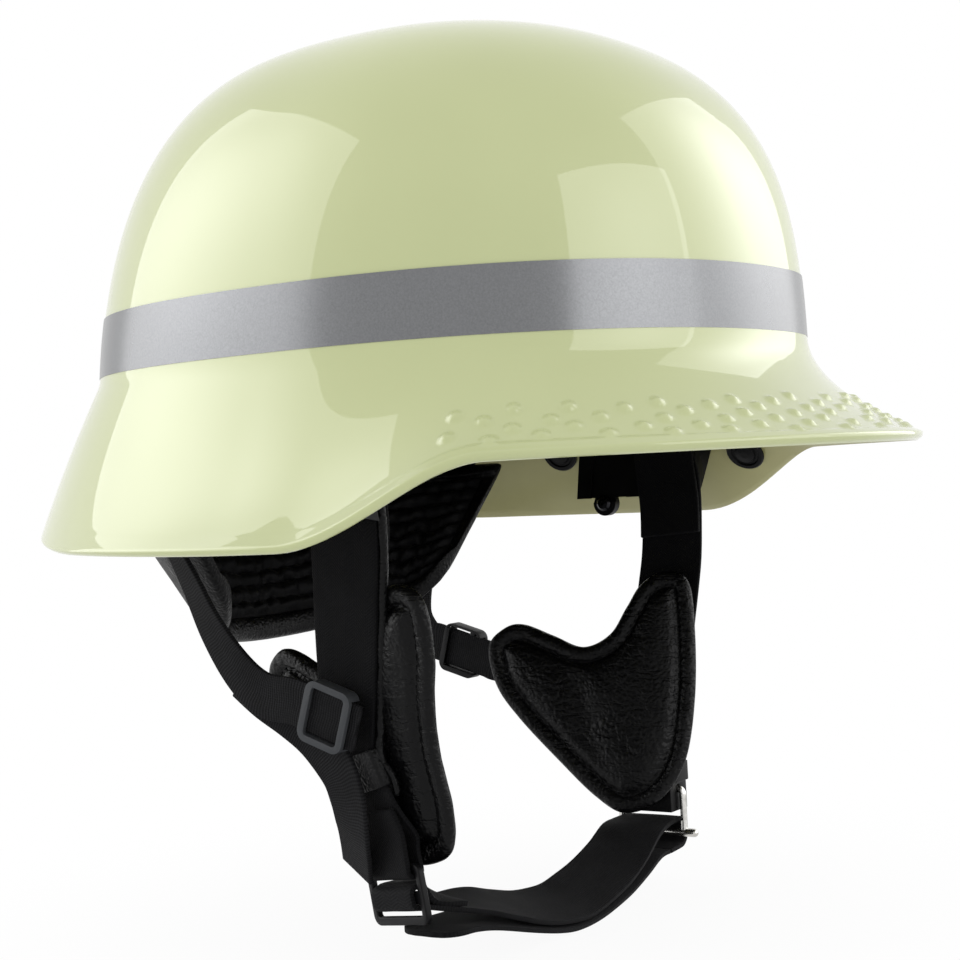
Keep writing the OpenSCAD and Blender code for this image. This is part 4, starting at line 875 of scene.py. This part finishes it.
def makePad(side):
    front = padRows(side)
    rows = []
    for p, h in front[::-1] + [(p, -h) for p, h in front[1:]]:
        q = onPad(p, h)
        for i in range(len(q)):
            c = Vector(q[i] / 11)
            d = 0.32 * noise.noise(c) + 0.12 * noise.noise(c * 3.1)
            q[i] -= padNormal * d * np.sign(h[i]) * min(abs(h[i]) / 2, 1)
        rows.append(q)
    piece = layGrid(side + "SidePad", nearOrFar(side, closeEnds(rows)), closed=True)
    finishPiece(piece, padLeather, 70, "harness", side + "_side_pad")


# Thread sunk in the sewn channel on both faces
def makeStitching(side):
    pf = padForm
    outline, inward = padOutline(side)
    line = outline + inward * pf["stitchIn"]
    line = np.concatenate([line, line[:1]])
    run = runOf(line)
    count = int(run[-1] / pf["stitchStep"])
    stitches = []
    for face in (1, -1):
        for k in range(count):
            at = [(k + o) * run[-1] / count for o in pf["stitchEnds"]]
            flat = np.column_stack([np.interp(at, run, line[:, i]) for i in (0, 1)])
            a, b = (Vector(e) for e in nearOrFar(side, onPad(flat, np.full(2, pf["stitchUp"] * face))))
            pickNone()
            bpy.ops.mesh.primitive_uv_sphere_add(segments=6, ring_count=4, radius=0.5)
            stitch = bpy.context.object
            turn = (b - a).to_track_quat("Z", "Y").to_matrix().to_4x4()
            size = Matrix.Diagonal((pf["stitchWide"] * mm, pf["stitchWide"] * mm, (b - a).length * mm, 1))
            stitch.data.transform(Matrix.Translation((a + b) / 2 * mm) @ turn @ size)
            stitches.append(stitch)
    thread = joinPieces(side + "PadStitching", stitches)
    finishPiece(thread, padThread, 80, "harness", None)


for side in ("near", "far"):
    makePad(side)
    makeStitching(side)
print("side pads made")

# Nape pad. It fans round the neck from its top edge to its lower one, and section is its profile down the fan.
napeForm = {
    "topHalf": 95, "topZ": -35, "topEnds": 45, "topBack": 126, "lowHalf": 56, "lowEndsY": 57, "lowEndsZ": -84,
    "lowBack": 92, "lowZ": -96, "thick": 7.0, "fan": 88, "cornerTurn": 16, "cornerShare": 0.26,
    "section": [(0, 0), (0.05, 0.42), (0.11, 0.47), (0.15, 0.1), (0.5, 0.08), (0.85, 0.1), (0.89, 0.47),
                (0.95, 0.42), (1, 0), (0.93, -0.45), (0.5, -0.5), (0.07, -0.45)]}
# Its lining, gathered in rows and tacked in columns so that it puffs between the stitches
liningForm = {"from": 0.12, "to": 0.88, "margin": 4, "rows": 8, "tackStep": 8.2, "thick": 0.6}
tabForm = {"turns": (-58, 0, 58), "follow": 0.86, "inset": 5.0, "z": -14.4, "half": 12, "thick": 1.8}


def napeEdge(f, b):
    s, c = math.sin(math.radians(f)), math.cos(math.radians(f))
    nf = napeForm
    past = min(max((abs(f) - nf["fan"] + nf["cornerTurn"]) / nf["cornerTurn"], 0), 1)
    b = b * (1 - nf["cornerShare"] * (1 - math.sqrt(1 - past * past)))
    top = np.array([nf["topHalf"] * s, nf["topEnds"] + (nf["topBack"] - nf["topEnds"]) * c, nf["topZ"]])
    low = np.array([nf["lowHalf"] * s, nf["lowEndsY"] + (nf["lowBack"] - nf["lowEndsY"]) * c,
                    nf["lowEndsZ"] + (nf["lowZ"] - nf["lowEndsZ"]) * c])
    return top + (low - top) * b


def napePoint(f, b, w):
    down = napeEdge(f, 1) - napeEdge(f, 0)
    return napeEdge(f, b) + unit(np.cross(down, napeEdge(f + 1, b) - napeEdge(f - 1, b))) * w


def makeNapePad():
    fan = napeForm["fan"]
    turns = np.concatenate([[-fan, -fan + 0.4, -fan + 1.2], np.arange(-fan + 2.2, fan - 2, 1.4),
                            [fan - 1.2, fan - 0.4, fan]])
    section = curveThrough(napeForm["section"], 5, closed=True)
    rows = []
    for f in turns:
        edge = min((fan - abs(f)) / 2.2, 1)
        thin = math.sqrt(max(1 - (1 - edge) ** 2, 0.0)) * 0.92 + 0.08
        row = []
        for b, w in section:
            p = napePoint(f, 0.5 + (b - 0.5) * (0.97 + 0.03 * thin), w * thin * napeForm["thick"])
            d = 0.35 * noise.noise(Vector(p / 9)) if abs(w) > 0.2 else 0
            row.append(p + unit(p - napePoint(f, 0.5, 0)) * d)
        rows.append(row)
    piece = layGrid("napePad", closeEnds(rows), closed=True)
    finishPiece(piece, napeLeather, 70, "helmet", "nape_pad")


def makeNapeLining():
    lf, end = liningForm, napeForm["fan"] - liningForm["margin"]
    rows = []
    for f in np.arange(-end, end + 0.1, 0.7):
        row = []
        for b in np.linspace(lf["from"], lf["to"], 90):
            edge = min((b - lf["from"]) / 0.05, (lf["to"] - b) / 0.05, (end - abs(f)) / 3, 1)
            drift = 0.12 * noise.noise(Vector((f / 7, b * 6, 3)))
            down = (b - lf["from"]) / (lf["to"] - lf["from"])
            across = abs(math.sin(math.pi * (down * lf["rows"] + drift * 3))) ** 0.7
            cell = abs(math.sin(math.pi * (f / lf["tackStep"] + drift * 2.2 + b))) ** 0.5
            puff = 0.06 + 0.36 * across * (0.72 + 0.28 * cell)
            puff += 0.16 * noise.noise(Vector((f / 3, b * 14, 7))) + 0.1 * noise.noise(Vector((f / 9, b * 5, 1)))
            row.append(napePoint(f, b, napeForm["thick"] * (0.12 + max(edge, 0) * puff)))
        rows.append(row)
    lining = layGrid("napeGatheredLining", rows, merge=0)
    addModifier(lining, "SOLIDIFY", thickness=lf["thick"] * mm, offset=-1)
    finishPiece(lining, liningCloth, 70, "helmet", "nape_lining")


# Tabs of webbing that carry the pad from the carrier ring
def makeNapeTabs():
    tf, pieces = tabForm, []
    for a in tf["turns"]:
        turn = np.array([180 + a * tf["follow"]])
        out = planNormal(turn)[0]
        p = np.append(planPoint(turn)[0] - out * tf["inset"], tf["z"])
        q, n = napePoint(a, -0.01, 0), np.append(out, 0)
        half = (np.append(p[:2], -13) + q) / 2 + n * 2
        path, facing = routeCurve([(p, n), (half, n + (0, 0, 0.1)), (q, n + (0, 0, 0.2))], 10)
        across = np.linspace(-tf["half"], tf["half"], 9)
        rows = path[:, None] + routeAxes(path, facing)[1][:, None] * across[None, :, None]
        pieces.append(weaveSheet("napeTab", rows, runOf(path), across, tf["thick"]))
    finishPiece(joinPieces("napeTabs", pieces), frontWebbing, 60, "helmet", "nape_tabs")


makeNapePad()
makeNapeLining()
makeNapeTabs()
print("nape pad made")


# Sliders, block and ring

def placed(x=0, y=0, z=0):
    return Matrix.Translation(Vector((x, y, z)) * mm)


def boxAt(size, place):
    pickNone()
    bpy.ops.mesh.primitive_cube_add(size=1)
    box = bpy.context.object
    box.data.transform(placed(*place) @ Matrix.Diagonal(tuple(s * mm for s in size) + (1,)))
    return box


def rodAt(radius, length, place, axis, sides=32):
    pickNone()
    bpy.ops.mesh.primitive_cylinder_add(vertices=sides, radius=radius * mm, depth=length * mm)
    rod = bpy.context.object
    rod.data.transform(placed(*place) @ Vector((0, 0, 1)).rotation_difference(Vector(axis)).to_matrix().to_4x4())
    return rod


def cutFrom(piece, cutter):
    addModifier(piece, "BOOLEAN", operation="DIFFERENCE", object=cutter, solver="EXACT")
    bpy.data.objects.remove(cutter)


# A slab with rounded corners, lying in XY
def slab(name, length, width, low, high, corner, segments=6):
    piece = boxAt((length, width, high - low), (0, 0, (low + high) / 2))
    piece.name = piece.data.name = name

    def corners():
        bpy.context.tool_settings.mesh_select_mode = (False, True, False)
        bpy.ops.mesh.select_all(action="DESELECT")
        bpy.ops.object.mode_set(mode="OBJECT")
        for e in piece.data.edges:
            a, b = (piece.data.vertices[i].co for i in e.vertices)
            e.select = abs(a.x - b.x) < 1e-7 and abs(a.y - b.y) < 1e-7
        bpy.ops.object.mode_set(mode="EDIT")
        bpy.ops.mesh.bevel(offset=corner * mm, segments=segments, affect="EDGES")
    inEdit(piece, corners)
    return piece


def placeOn(piece, place, run, side):
    x = unit(run)
    z = unit(np.cross(x, side))
    piece.data.transform(placed(*place) @ Matrix((x, np.cross(z, x), z)).transposed().to_4x4())


def makeRearSlider(which, material):
    s, c = sliders, sliders[which]
    h = strap["thick"] / 2 + s["gap"] + s["barThick"]
    inside = strap["rear"] + 2 * s["gap"]
    end, half = s["length"] + 2, s["length"] / 2 - s["bar"]
    piece = slab(which + "RearSlider", s["length"], inside + 2 * s["rail"], -h, h, s["corner"], 8)
    # The strap runs through, under a whole frame on the outside and over one bar on the inside
    cutFrom(piece, boxAt((2 * end, inside, 2 * (h - s["barThick"])), (0, 0, 0)))
    cutFrom(piece, slab("window", 2 * half, inside, 0, h + 1, s["windowCorner"], 4))
    cutFrom(piece, boxAt((half + end, inside, h + 1), ((end - half) / 2, 0, -(h + 1) / 2)))
    if which == "far":
        rail = -inside / 2 - s["slotInRail"]
        cutFrom(piece, boxAt(s["slot"] + (4 * h,), (s["slotAt"], rail, 0)))
        cutFrom(piece, rodAt(s["hole"], 4 * h, (s["holeAt"], rail, 0), (0, 0, 1), 16))
    placeOn(piece, c["middle"], c["run"], np.cross(c["out"], c["run"]))
    roundEdges(piece, 0.5, 3, 35)
    finishPiece(piece, material, 45, which + "_slider", which + "_rear_slider")
    print(which, "rear slider faces:", len(piece.data.polygons))


def makeChinSlider():
    c = chinSlider
    length = c["bars"][-1][1]
    piece = slab("chinSlider", length, c["width"], -c["thick"] / 2, c["thick"] / 2, c["corner"])
    piece.data.transform(placed(length / 2))
    for (_, a), (b, _) in zip(c["bars"], c["bars"][1:]):
        cutter = slab("slot", b - a, strap["front"] + 2 * strap["gap"], -3, 3, c["slotCorner"], 3)
        cutter.data.transform(placed((a + b) / 2))
        cutFrom(piece, cutter)
    placeOn(piece, c["top"], c["run"], c["side"])
    roundEdges(piece, 0.5, 3, 35)
    finishPiece(piece, sliderBlack, 45, "harness", "chin_slider")


def makeTube(name, path, radius, sides, merge=0.0005):
    path = np.asarray(path, float)
    ahead = unit(np.gradient(path, axis=0))
    side = np.zeros_like(path)
    ref = np.array([0.13, 0.2, 0.97])
    ref = ref - ahead[0] * (ref @ ahead[0])
    for i in range(len(path)):
        ref = ref - ahead[i] * (ref @ ahead[i])
        ref = side[i] = ref / np.linalg.norm(ref)
    turn = np.linspace(0, 2 * np.pi, sides, endpoint=False)[None, :, None]
    radius = np.broadcast_to(np.asarray(radius, float), (len(path),))[:, None, None]
    rows = path[:, None] + radius * (side[:, None] * np.cos(turn) + np.cross(ahead, side)[:, None] * np.sin(turn))
    rows = np.concatenate([np.repeat(path[:1, None], sides, 1), rows, np.repeat(path[-1:, None], sides, 1)])
    return layGrid(name, rows, closed=True, merge=merge)


blockForm = {"thick": 12.6, "width": 27.0, "height": 18.0, "corner": 2.2, "chamfer": 4.6, "overPin": 8.4,
             "wireGap": 0.25, "sideGap": 0.4, "sideUp": 2.7}


# The end block stands between the ring's legs, with the ring's top wire through it
def makeEndBlock():
    b = blockForm
    low, top = ring["pinZ"] + b["overPin"], ring["pinZ"] + ring["height"]
    piece = slab("endBlock", b["thick"], b["width"], low, low + b["height"], b["corner"])
    cutFrom(piece, rodAt(ring["wire"] / 2 + b["wireGap"], 2 * b["width"], (0, 0, top), (0, 1, 0)))
    cutLow, cutHigh = low - 1, top + b["sideUp"]
    for m in (-1, 1):
        middle = (0, m * (ring["inside"] / 2 - b["sideGap"] + 5), (cutLow + cutHigh) / 2)
        cutFrom(piece, boxAt((2 * b["thick"], 10, cutHigh - cutLow), middle))
    edge = b["chamfer"] * math.sqrt(2)
    slope = boxAt((edge, 2 * b["width"], edge), (0, 0, 0))
    slope.data.transform(placed(-b["thick"] / 2, 0, low + b["height"]) @ Matrix.Rotation(math.pi / 4, 4, "Y"))
    cutFrom(piece, slope)
    piece.data.transform(placed(ring["x"], ring["y"]))
    roundEdges(piece, 0.6, 3, 35)
    finishPiece(piece, anchorPlastic, 45, "harness", "end_block")


def makeRing():
    leg = (ring["inside"] + ring["wire"]) / 2
    top, bend, pinZ = ring["pinZ"] + ring["height"], ring["bend"], ring["pinZ"]
    corner = [(bend * (1 - math.cos(a)), top - bend + bend * math.sin(a)) for a in np.radians(np.linspace(0, 90, 9))]
    side = [(-leg, pinZ - 0.2), (-leg, pinZ + 4), (-leg, top - bend - 2)] + [(y - leg, z) for y, z in corner]
    half = side + [(6 - leg, top)]
    outline = half + [(0, top)] + [(-y, z) for y, z in reversed(half)]
    wire = makeTube("ringWire", [(ring["x"], ring["y"] + y, z) for y, z in outline], ring["wire"] / 2, 20)
    r, arc = pinRadius, np.radians(np.linspace(0, 90, 6))
    ends = leg + r
    stops = [-ends - ring["head"] - r * math.cos(a) + 0.02 for a in arc] + [-8, 0, 8]
    stops += [ends - r * 0.5 + r * 0.5 * math.cos(a) for a in reversed(arc)]
    radii = [max(r * math.sin(a), 0.05) for a in arc]
    pin = makeTube("ringPin", [(ring["x"], ring["y"] + y, pinZ) for y in stops], radii + [r] * 3 + radii[::-1], 24)
    finishPiece(joinPieces("ringWithPin", [wire, pin]), steel, 50, "ring", "d_ring")


makeRearSlider("near", sliderGrey)
makeRearSlider("far", sliderBlack)
makeChinSlider()
makeEndBlock()
makeRing()
print("sliders, block and ring made")

# A round leather piping closes the near cushion along the strap's front edge and ends in a small pull loop
pipingForm = {"from": 26, "to": 103, "every": 3, "radius": 1.5, "inwards": 1.6, "beside": 0.9, "waver": 0.35,
              "loop": 4.2, "loopRadius": 0.95, "endRadius": 0.5}
# Leather sleeves hold the cushions on the webbing, each at a step of its route. section is the place along the
# strap and the growth of the sleeve there, out and back again on the inside.
keeperForm = {
    "near": 29, "far": 26, "grow": 1.1, "thick": 1.9,
    "section": [(-6, 0.15), (-6, 0.7), (-5.6, 1.0), (-3, 1.05), (0, 1.0), (3, 1.05), (5.6, 1.0), (6, 0.7), (6, 0.15),
                (5, -0.2), (0, -0.2), (-5, -0.2)]}


def makePiping():
    pf = pipingForm
    path, facing = routeCurve(nearFront, 14)
    side = routeAxes(path, facing)[1]
    side = side * np.sign(-side[:, 1:2])
    line = path + side * (strap["front"] / 2 + pf["beside"]) - unit(facing) * pf["inwards"]
    line = line[pf["from"]:pf["to"]:pf["every"]]
    line = line + np.array([[pf["waver"] * noise.noise(Vector(q / 7) + Vector((0, 0, k))) for k in (0, 9, 17)]
                            for q in line])
    end, away, over = line[-1], unit(line[-1] - line[-2]), unit(side[pf["to"]])
    loop = [end + away * pf["loop"] * (1 - np.cos(a)) * 1.2 + over * pf["loop"] * 0.55 * np.sin(a)
            for a in np.radians(np.arange(15, 346, 30))]
    wide = np.full(len(line), pf["radius"])
    wide[::7] *= 0.9
    wide = np.concatenate([wide, np.full(len(loop), pf["loopRadius"])])
    wide[[0, -1]] = pf["endRadius"]
    piece = makeTube("nearPadPiping", np.concatenate([line, loop]), wide, 14)
    finishPiece(piece, napeLeather, 70, "harness", None)


def makeKeeper(side, route):
    kf, at = keeperForm, keeperForm[side]
    path, facing = routeCurve(route, 4)
    ahead = unit(path[at + 1] - path[at - 1])
    across = unit(np.cross(facing[at], ahead))
    out = np.cross(ahead, across)
    turn = np.linspace(0, 2 * np.pi, 48, endpoint=False)[:, None]
    rows = []
    for x, grow in kf["section"] + kf["section"][:1]:
        wide = signedPower(np.cos(turn), 0.35) * (strap["front"] / 2 + kf["grow"] + grow)
        rows.append(path[at] + ahead * x + across * wide + out * signedPower(np.sin(turn), 0.5) * (kf["thick"] + grow))
    piece = layGrid(side + "PadKeeper", rows, closed=True)
    finishPiece(piece, napeLeather, 60, "harness", side + "_pad_keeper")


makePiping()
makeKeeper("near", nearFront)
makeKeeper("far", farFront)
print("piping and keepers made")

# Crown. Each strap has its piece's name, its node, its turn, how far it is lifted and how far in it is fixed.
crownForm = {
    "height": 82, "width": 22, "thick": 1.4, "rim": 6.5, "rise": [(0, -8), (0.02, 14), (0.1, 46), (0.27, 72)],
    "straps": [("crownStrapMiddle", "crown_strap_middle", 0, 0, 1.1),
               ("crownStrapLeft", "crown_strap_left", 60, 3.0, 3.4),
               ("crownStrapRight", "crown_strap_right", 120, 6.0, 3.4)],
    "padRadius": 36, "padThick": 7, "padGap": 0.8, "padSag": 230, "seamAt": 0.62, "seamWide": 0.05, "seamDeep": 0.5,
    "spokeWide": 2.2,
    "padProfile": [(0.0, 1.0), (0.35, 1.0), (0.7, 0.98), (0.93, 0.88), (1.0, 0.5), (0.95, 0.1), (0.7, 0.0),
                   (0.4, -0.02), (0.0, -0.02)]}


def ringPoint(angle, inset):
    turn = np.array([angle], float)
    return (planPoint(turn) - planNormal(turn) * (crownForm["rim"] + inset))[0]


def makeCrown():
    cf = crownForm
    for name, node, angle, lift, inset in cf["straps"]:
        first, last = ringPoint(angle, inset), ringPoint(angle + 180, inset)
        rise = cf["rise"] + [(0.5, cf["height"] + lift)] + [(1 - s, z) for s, z in reversed(cf["rise"])]
        fine = curveThrough([np.append(first + (last - first) * s, z) for s, z in rise], 3)
        flat = np.array([first[1] - last[1], last[0] - first[0], 0])
        facing = unit(np.cross(flat, unit(np.gradient(fine, axis=0))))
        sewStrap(name, list(zip(fine, facing)), cf["width"], crownWebbing, "helmet", node, "crown_webbing",
                 thick=cf["thick"], steps=5, soft=0)
    low = cf["height"] - cf["thick"] / 2 - cf["padThick"] - cf["padGap"]
    turn = np.linspace(0, 2 * np.pi, 96, endpoint=False)
    rows = []
    for share, up in curveThrough(cf["padProfile"], 5):
        share = max(share, 0)
        w = cf["padRadius"] * share * (1 + 0.05 * np.cos(6 * turn))
        z = low + cf["padThick"] * up - w * w / cf["padSag"]
        if up <= 0.5:       # a sewn ring underneath, and six sewn spokes within it
            z = z + cf["seamDeep"] * np.exp(-((share - cf["seamAt"]) / cf["seamWide"]) ** 2)
            spokes = np.exp(-(np.abs(np.sin(3 * turn)) * w / cf["spokeWide"]) ** 2)
            z = z + cf["seamDeep"] * spokes * (share < cf["seamAt"])
        rows.append(np.column_stack([-w * np.sin(turn), -w * np.cos(turn), z]))
    pad = layGrid("crownPad", rows, closed=True, merge=0.02)
    finishPiece(pad, crownCloth, 60, "helmet", "crown_pad")


# Sweatband. section is its inset and its share of the height, and it stops before the back of the head.
sweatForm = {
    "halfWidth": 81.9, "halfLength": 100.9, "back": 5, "low": -5.0, "high": 25.0, "stopY": 20.2, "endTurn": 1.5,
    "section": [(0, 0.5), (0.3, 0.05), (1.2, 0.0), (2.3, 0.1), (2.6, 0.25), (2.6, 0.5), (2.6, 0.75), (2.3, 0.9),
                (1.2, 1.0), (0.3, 0.95)]}


def makeSweatband():
    sf = sweatForm
    start = math.degrees(math.acos(-sf["stopY"] / sf["halfLength"]))
    section = curveThrough(sf["section"], 4, closed=True)
    tall = sf["high"] - sf["low"]
    rows = []
    for f in np.linspace(-start, start, 150):
        s, c = math.sin(math.radians(f)), math.cos(math.radians(f))
        end = math.sqrt(min((start - abs(f)) / sf["endTurn"], 1)) if abs(f) > start - sf["endTurn"] else 1
        row = []
        for inset, up in section:
            inset *= 0.3 + 0.7 * end
            row.append((-(sf["halfWidth"] - inset) * s, sf["back"] - (sf["halfLength"] - inset) * c,
                        sf["low"] + tall * (0.5 + (up - 0.5) * (0.9 + 0.1 * end))))
        rows.append(row)
    run = runOf(np.array(rows)[:, 0])
    run = np.concatenate([run[:1], run, run[-1:]])
    around = np.append(section[:, 1], section[0, 1]) * tall
    piece = layGrid("sweatbandLeather", closeEnds(rows), closed=True, run=run, across=around)
    finishPiece(piece, sweatLeather, 60, "helmet", "sweatband")


makeCrown()
makeSweatband()
for name in ("carrier_ring", "headband", "headband_hangers"):
    setMaterial(nodes[name], linerPlastic)
for name in ("near_anchor_block", "far_anchor_block", "wall_studs", "rear_anchors"):
    setMaterial(nodes[name], anchorPlastic)
setMaterial(nodes["anchor_screws"], screwSteel)
print("carrier and crown made")

# Floor, light and background
lightForm = {"floorZ": -194.4, "worldStrength": 0.95, "shadowReach": 0.34, "shadowShare": 0.14}
# Upright softboxes round the helmet: middle in metres, the compass way each faces, its size, and its brightness at
# the edge and in the hot middle. The white cards only show in gloss, and the fills only light.
softboxes = {
    "leftCard": {"place": (-0.543, 0.82, 0.505), "face": (0.552, -0.834), "size": (1.11, 1.39), "edge": 1.8,
                 "core": 2.2},
    "rightCard": {"place": (0.99, -0.632, 0.505), "face": (-0.478, 0.879), "size": (1.44, 1.39), "edge": 1.4,
                  "core": 1.9},
    "frontCard": {"place": (-0.016, -1.217, 0.33), "face": (0.202, 0.979), "size": (1.25, 1.04), "edge": 2.1,
                  "core": 0.8},
    "leftFill": {"place": (-0.743, 1.0, 0.505), "face": (0.552, -0.834), "size": (1.11, 1.39), "light": 0.35},
    "rightFill": {"place": (0.99, -0.832, 0.505), "face": (-0.478, 0.879), "size": (1.44, 1.39), "light": 0.3}}


# 1 for rays that see the surroundings themselves and 0 for those that only light
def seenRays(tree):
    path = addNode(tree, "LightPath")
    seen = addNode(tree, "Math", {"operation": "MAXIMUM"}, {0: (path, "Is Camera Ray"), 1: (path, "Is Glossy Ray")})
    return addNode(tree, "Math", {"operation": "MAXIMUM"}, {0: (seen, "Value"), 1: (path, "Is Transmission Ray")})


def makeFloor():
    bpy.context.scene.view_settings.view_transform = "Standard"
    pickNone()
    bpy.ops.mesh.primitive_plane_add(size=40, location=(0, 0, lightForm["floorZ"] * mm))
    floor = bpy.context.object
    floor.name = "floor"
    bpy.ops.object.transform_apply(location=True, rotation=True, scale=True)
    material, tree, shader = newMaterial("paleFloor", Base_Color=hexColour("#f4f4f4"), Roughness=0.9,
                                         Specular_IOR_Level=0.0)
    glow = addNode(tree, "Emission", {"Strength": 1.0})
    seen = seenRays(tree)
    away = addNode(tree, "VectorMath", {"operation": "LENGTH"}, {0: (addNode(tree, "TexCoord"), "Object")})
    white = addNode(tree, "MapRange", {"interpolation_type": "SMOOTHSTEP", "From Min": 0.05,
                                       "From Max": lightForm["shadowReach"],
                                       "To Min": 1 - lightForm["shadowShare"], "To Max": 1.0},
                    {"Value": (away, "Value")})
    share = addNode(tree, "Math", {"operation": "MULTIPLY"}, {0: (seen, "Value"), 1: (white, "Result")})
    both = addNode(tree, "MixShader", None, {0: (share, "Value"), 1: (shader, "BSDF"), 2: (glow, "Emission")})
    tree.links.new(both.outputs[0], tree.nodes["Material Output"].inputs["Surface"])
    setMaterial(floor, material)


def makeWorld():
    world = bpy.data.worlds.new("studio")
    bpy.context.scene.world = world
    world.use_nodes = True
    tree = world.node_tree
    back = tree.nodes["Background"]
    back.inputs["Color"].default_value = (1, 1, 1, 1)
    plain = addNode(tree, "MapRange", {"To Min": lightForm["worldStrength"], "To Max": 1.0},
                    {"Value": (seenRays(tree), "Value")})
    tree.links.new(plain.outputs["Result"], back.inputs["Strength"])


def makeLights():
    for name, s in softboxes.items():
        data = bpy.data.lights.new(name, "AREA")
        data.shape = "RECTANGLE"
        data.size, data.size_y = s["size"]
        data.energy = math.pi * s["size"][0] * s["size"][1]    # so that a strength of 1 is as bright as white
        data.use_nodes = True
        tree = data.node_tree
        glow = tree.nodes["Emission"]
        lamp = bpy.data.objects.new(name, data)
        bpy.context.scene.collection.objects.link(lamp)
        back = Vector((-s["face"][0], -s["face"][1], 0)).normalized()
        turn = Matrix((Vector((0, 0, 1)).cross(back), Vector((0, 0, 1)), back)).transposed().to_4x4()
        lamp.matrix_world = Matrix.Translation(Vector(s["place"])) @ turn
        if "light" in s:
            glow.inputs["Strength"].default_value = s["light"]
            lamp.visible_glossy = False
            continue
        away = addNode(tree, "VectorMath", {"operation": "DISTANCE", 1: (0.5, 0.5, 0.0)},
                       {0: (addNode(tree, "NewGeometry"), "Parametric")})
        hot = addNode(tree, "MapRange", {"interpolation_type": "SMOOTHSTEP", "From Min": 0.0, "From Max": 0.5,
                                         "To Min": s["edge"] + s["core"], "To Max": s["edge"]},
                      {"Value": (away, "Value")})
        tree.links.new(hot.outputs["Result"], glow.inputs["Strength"])
        lamp.visible_diffuse = False


makeFloor()
makeWorld()
makeLights()
print("scene complete")
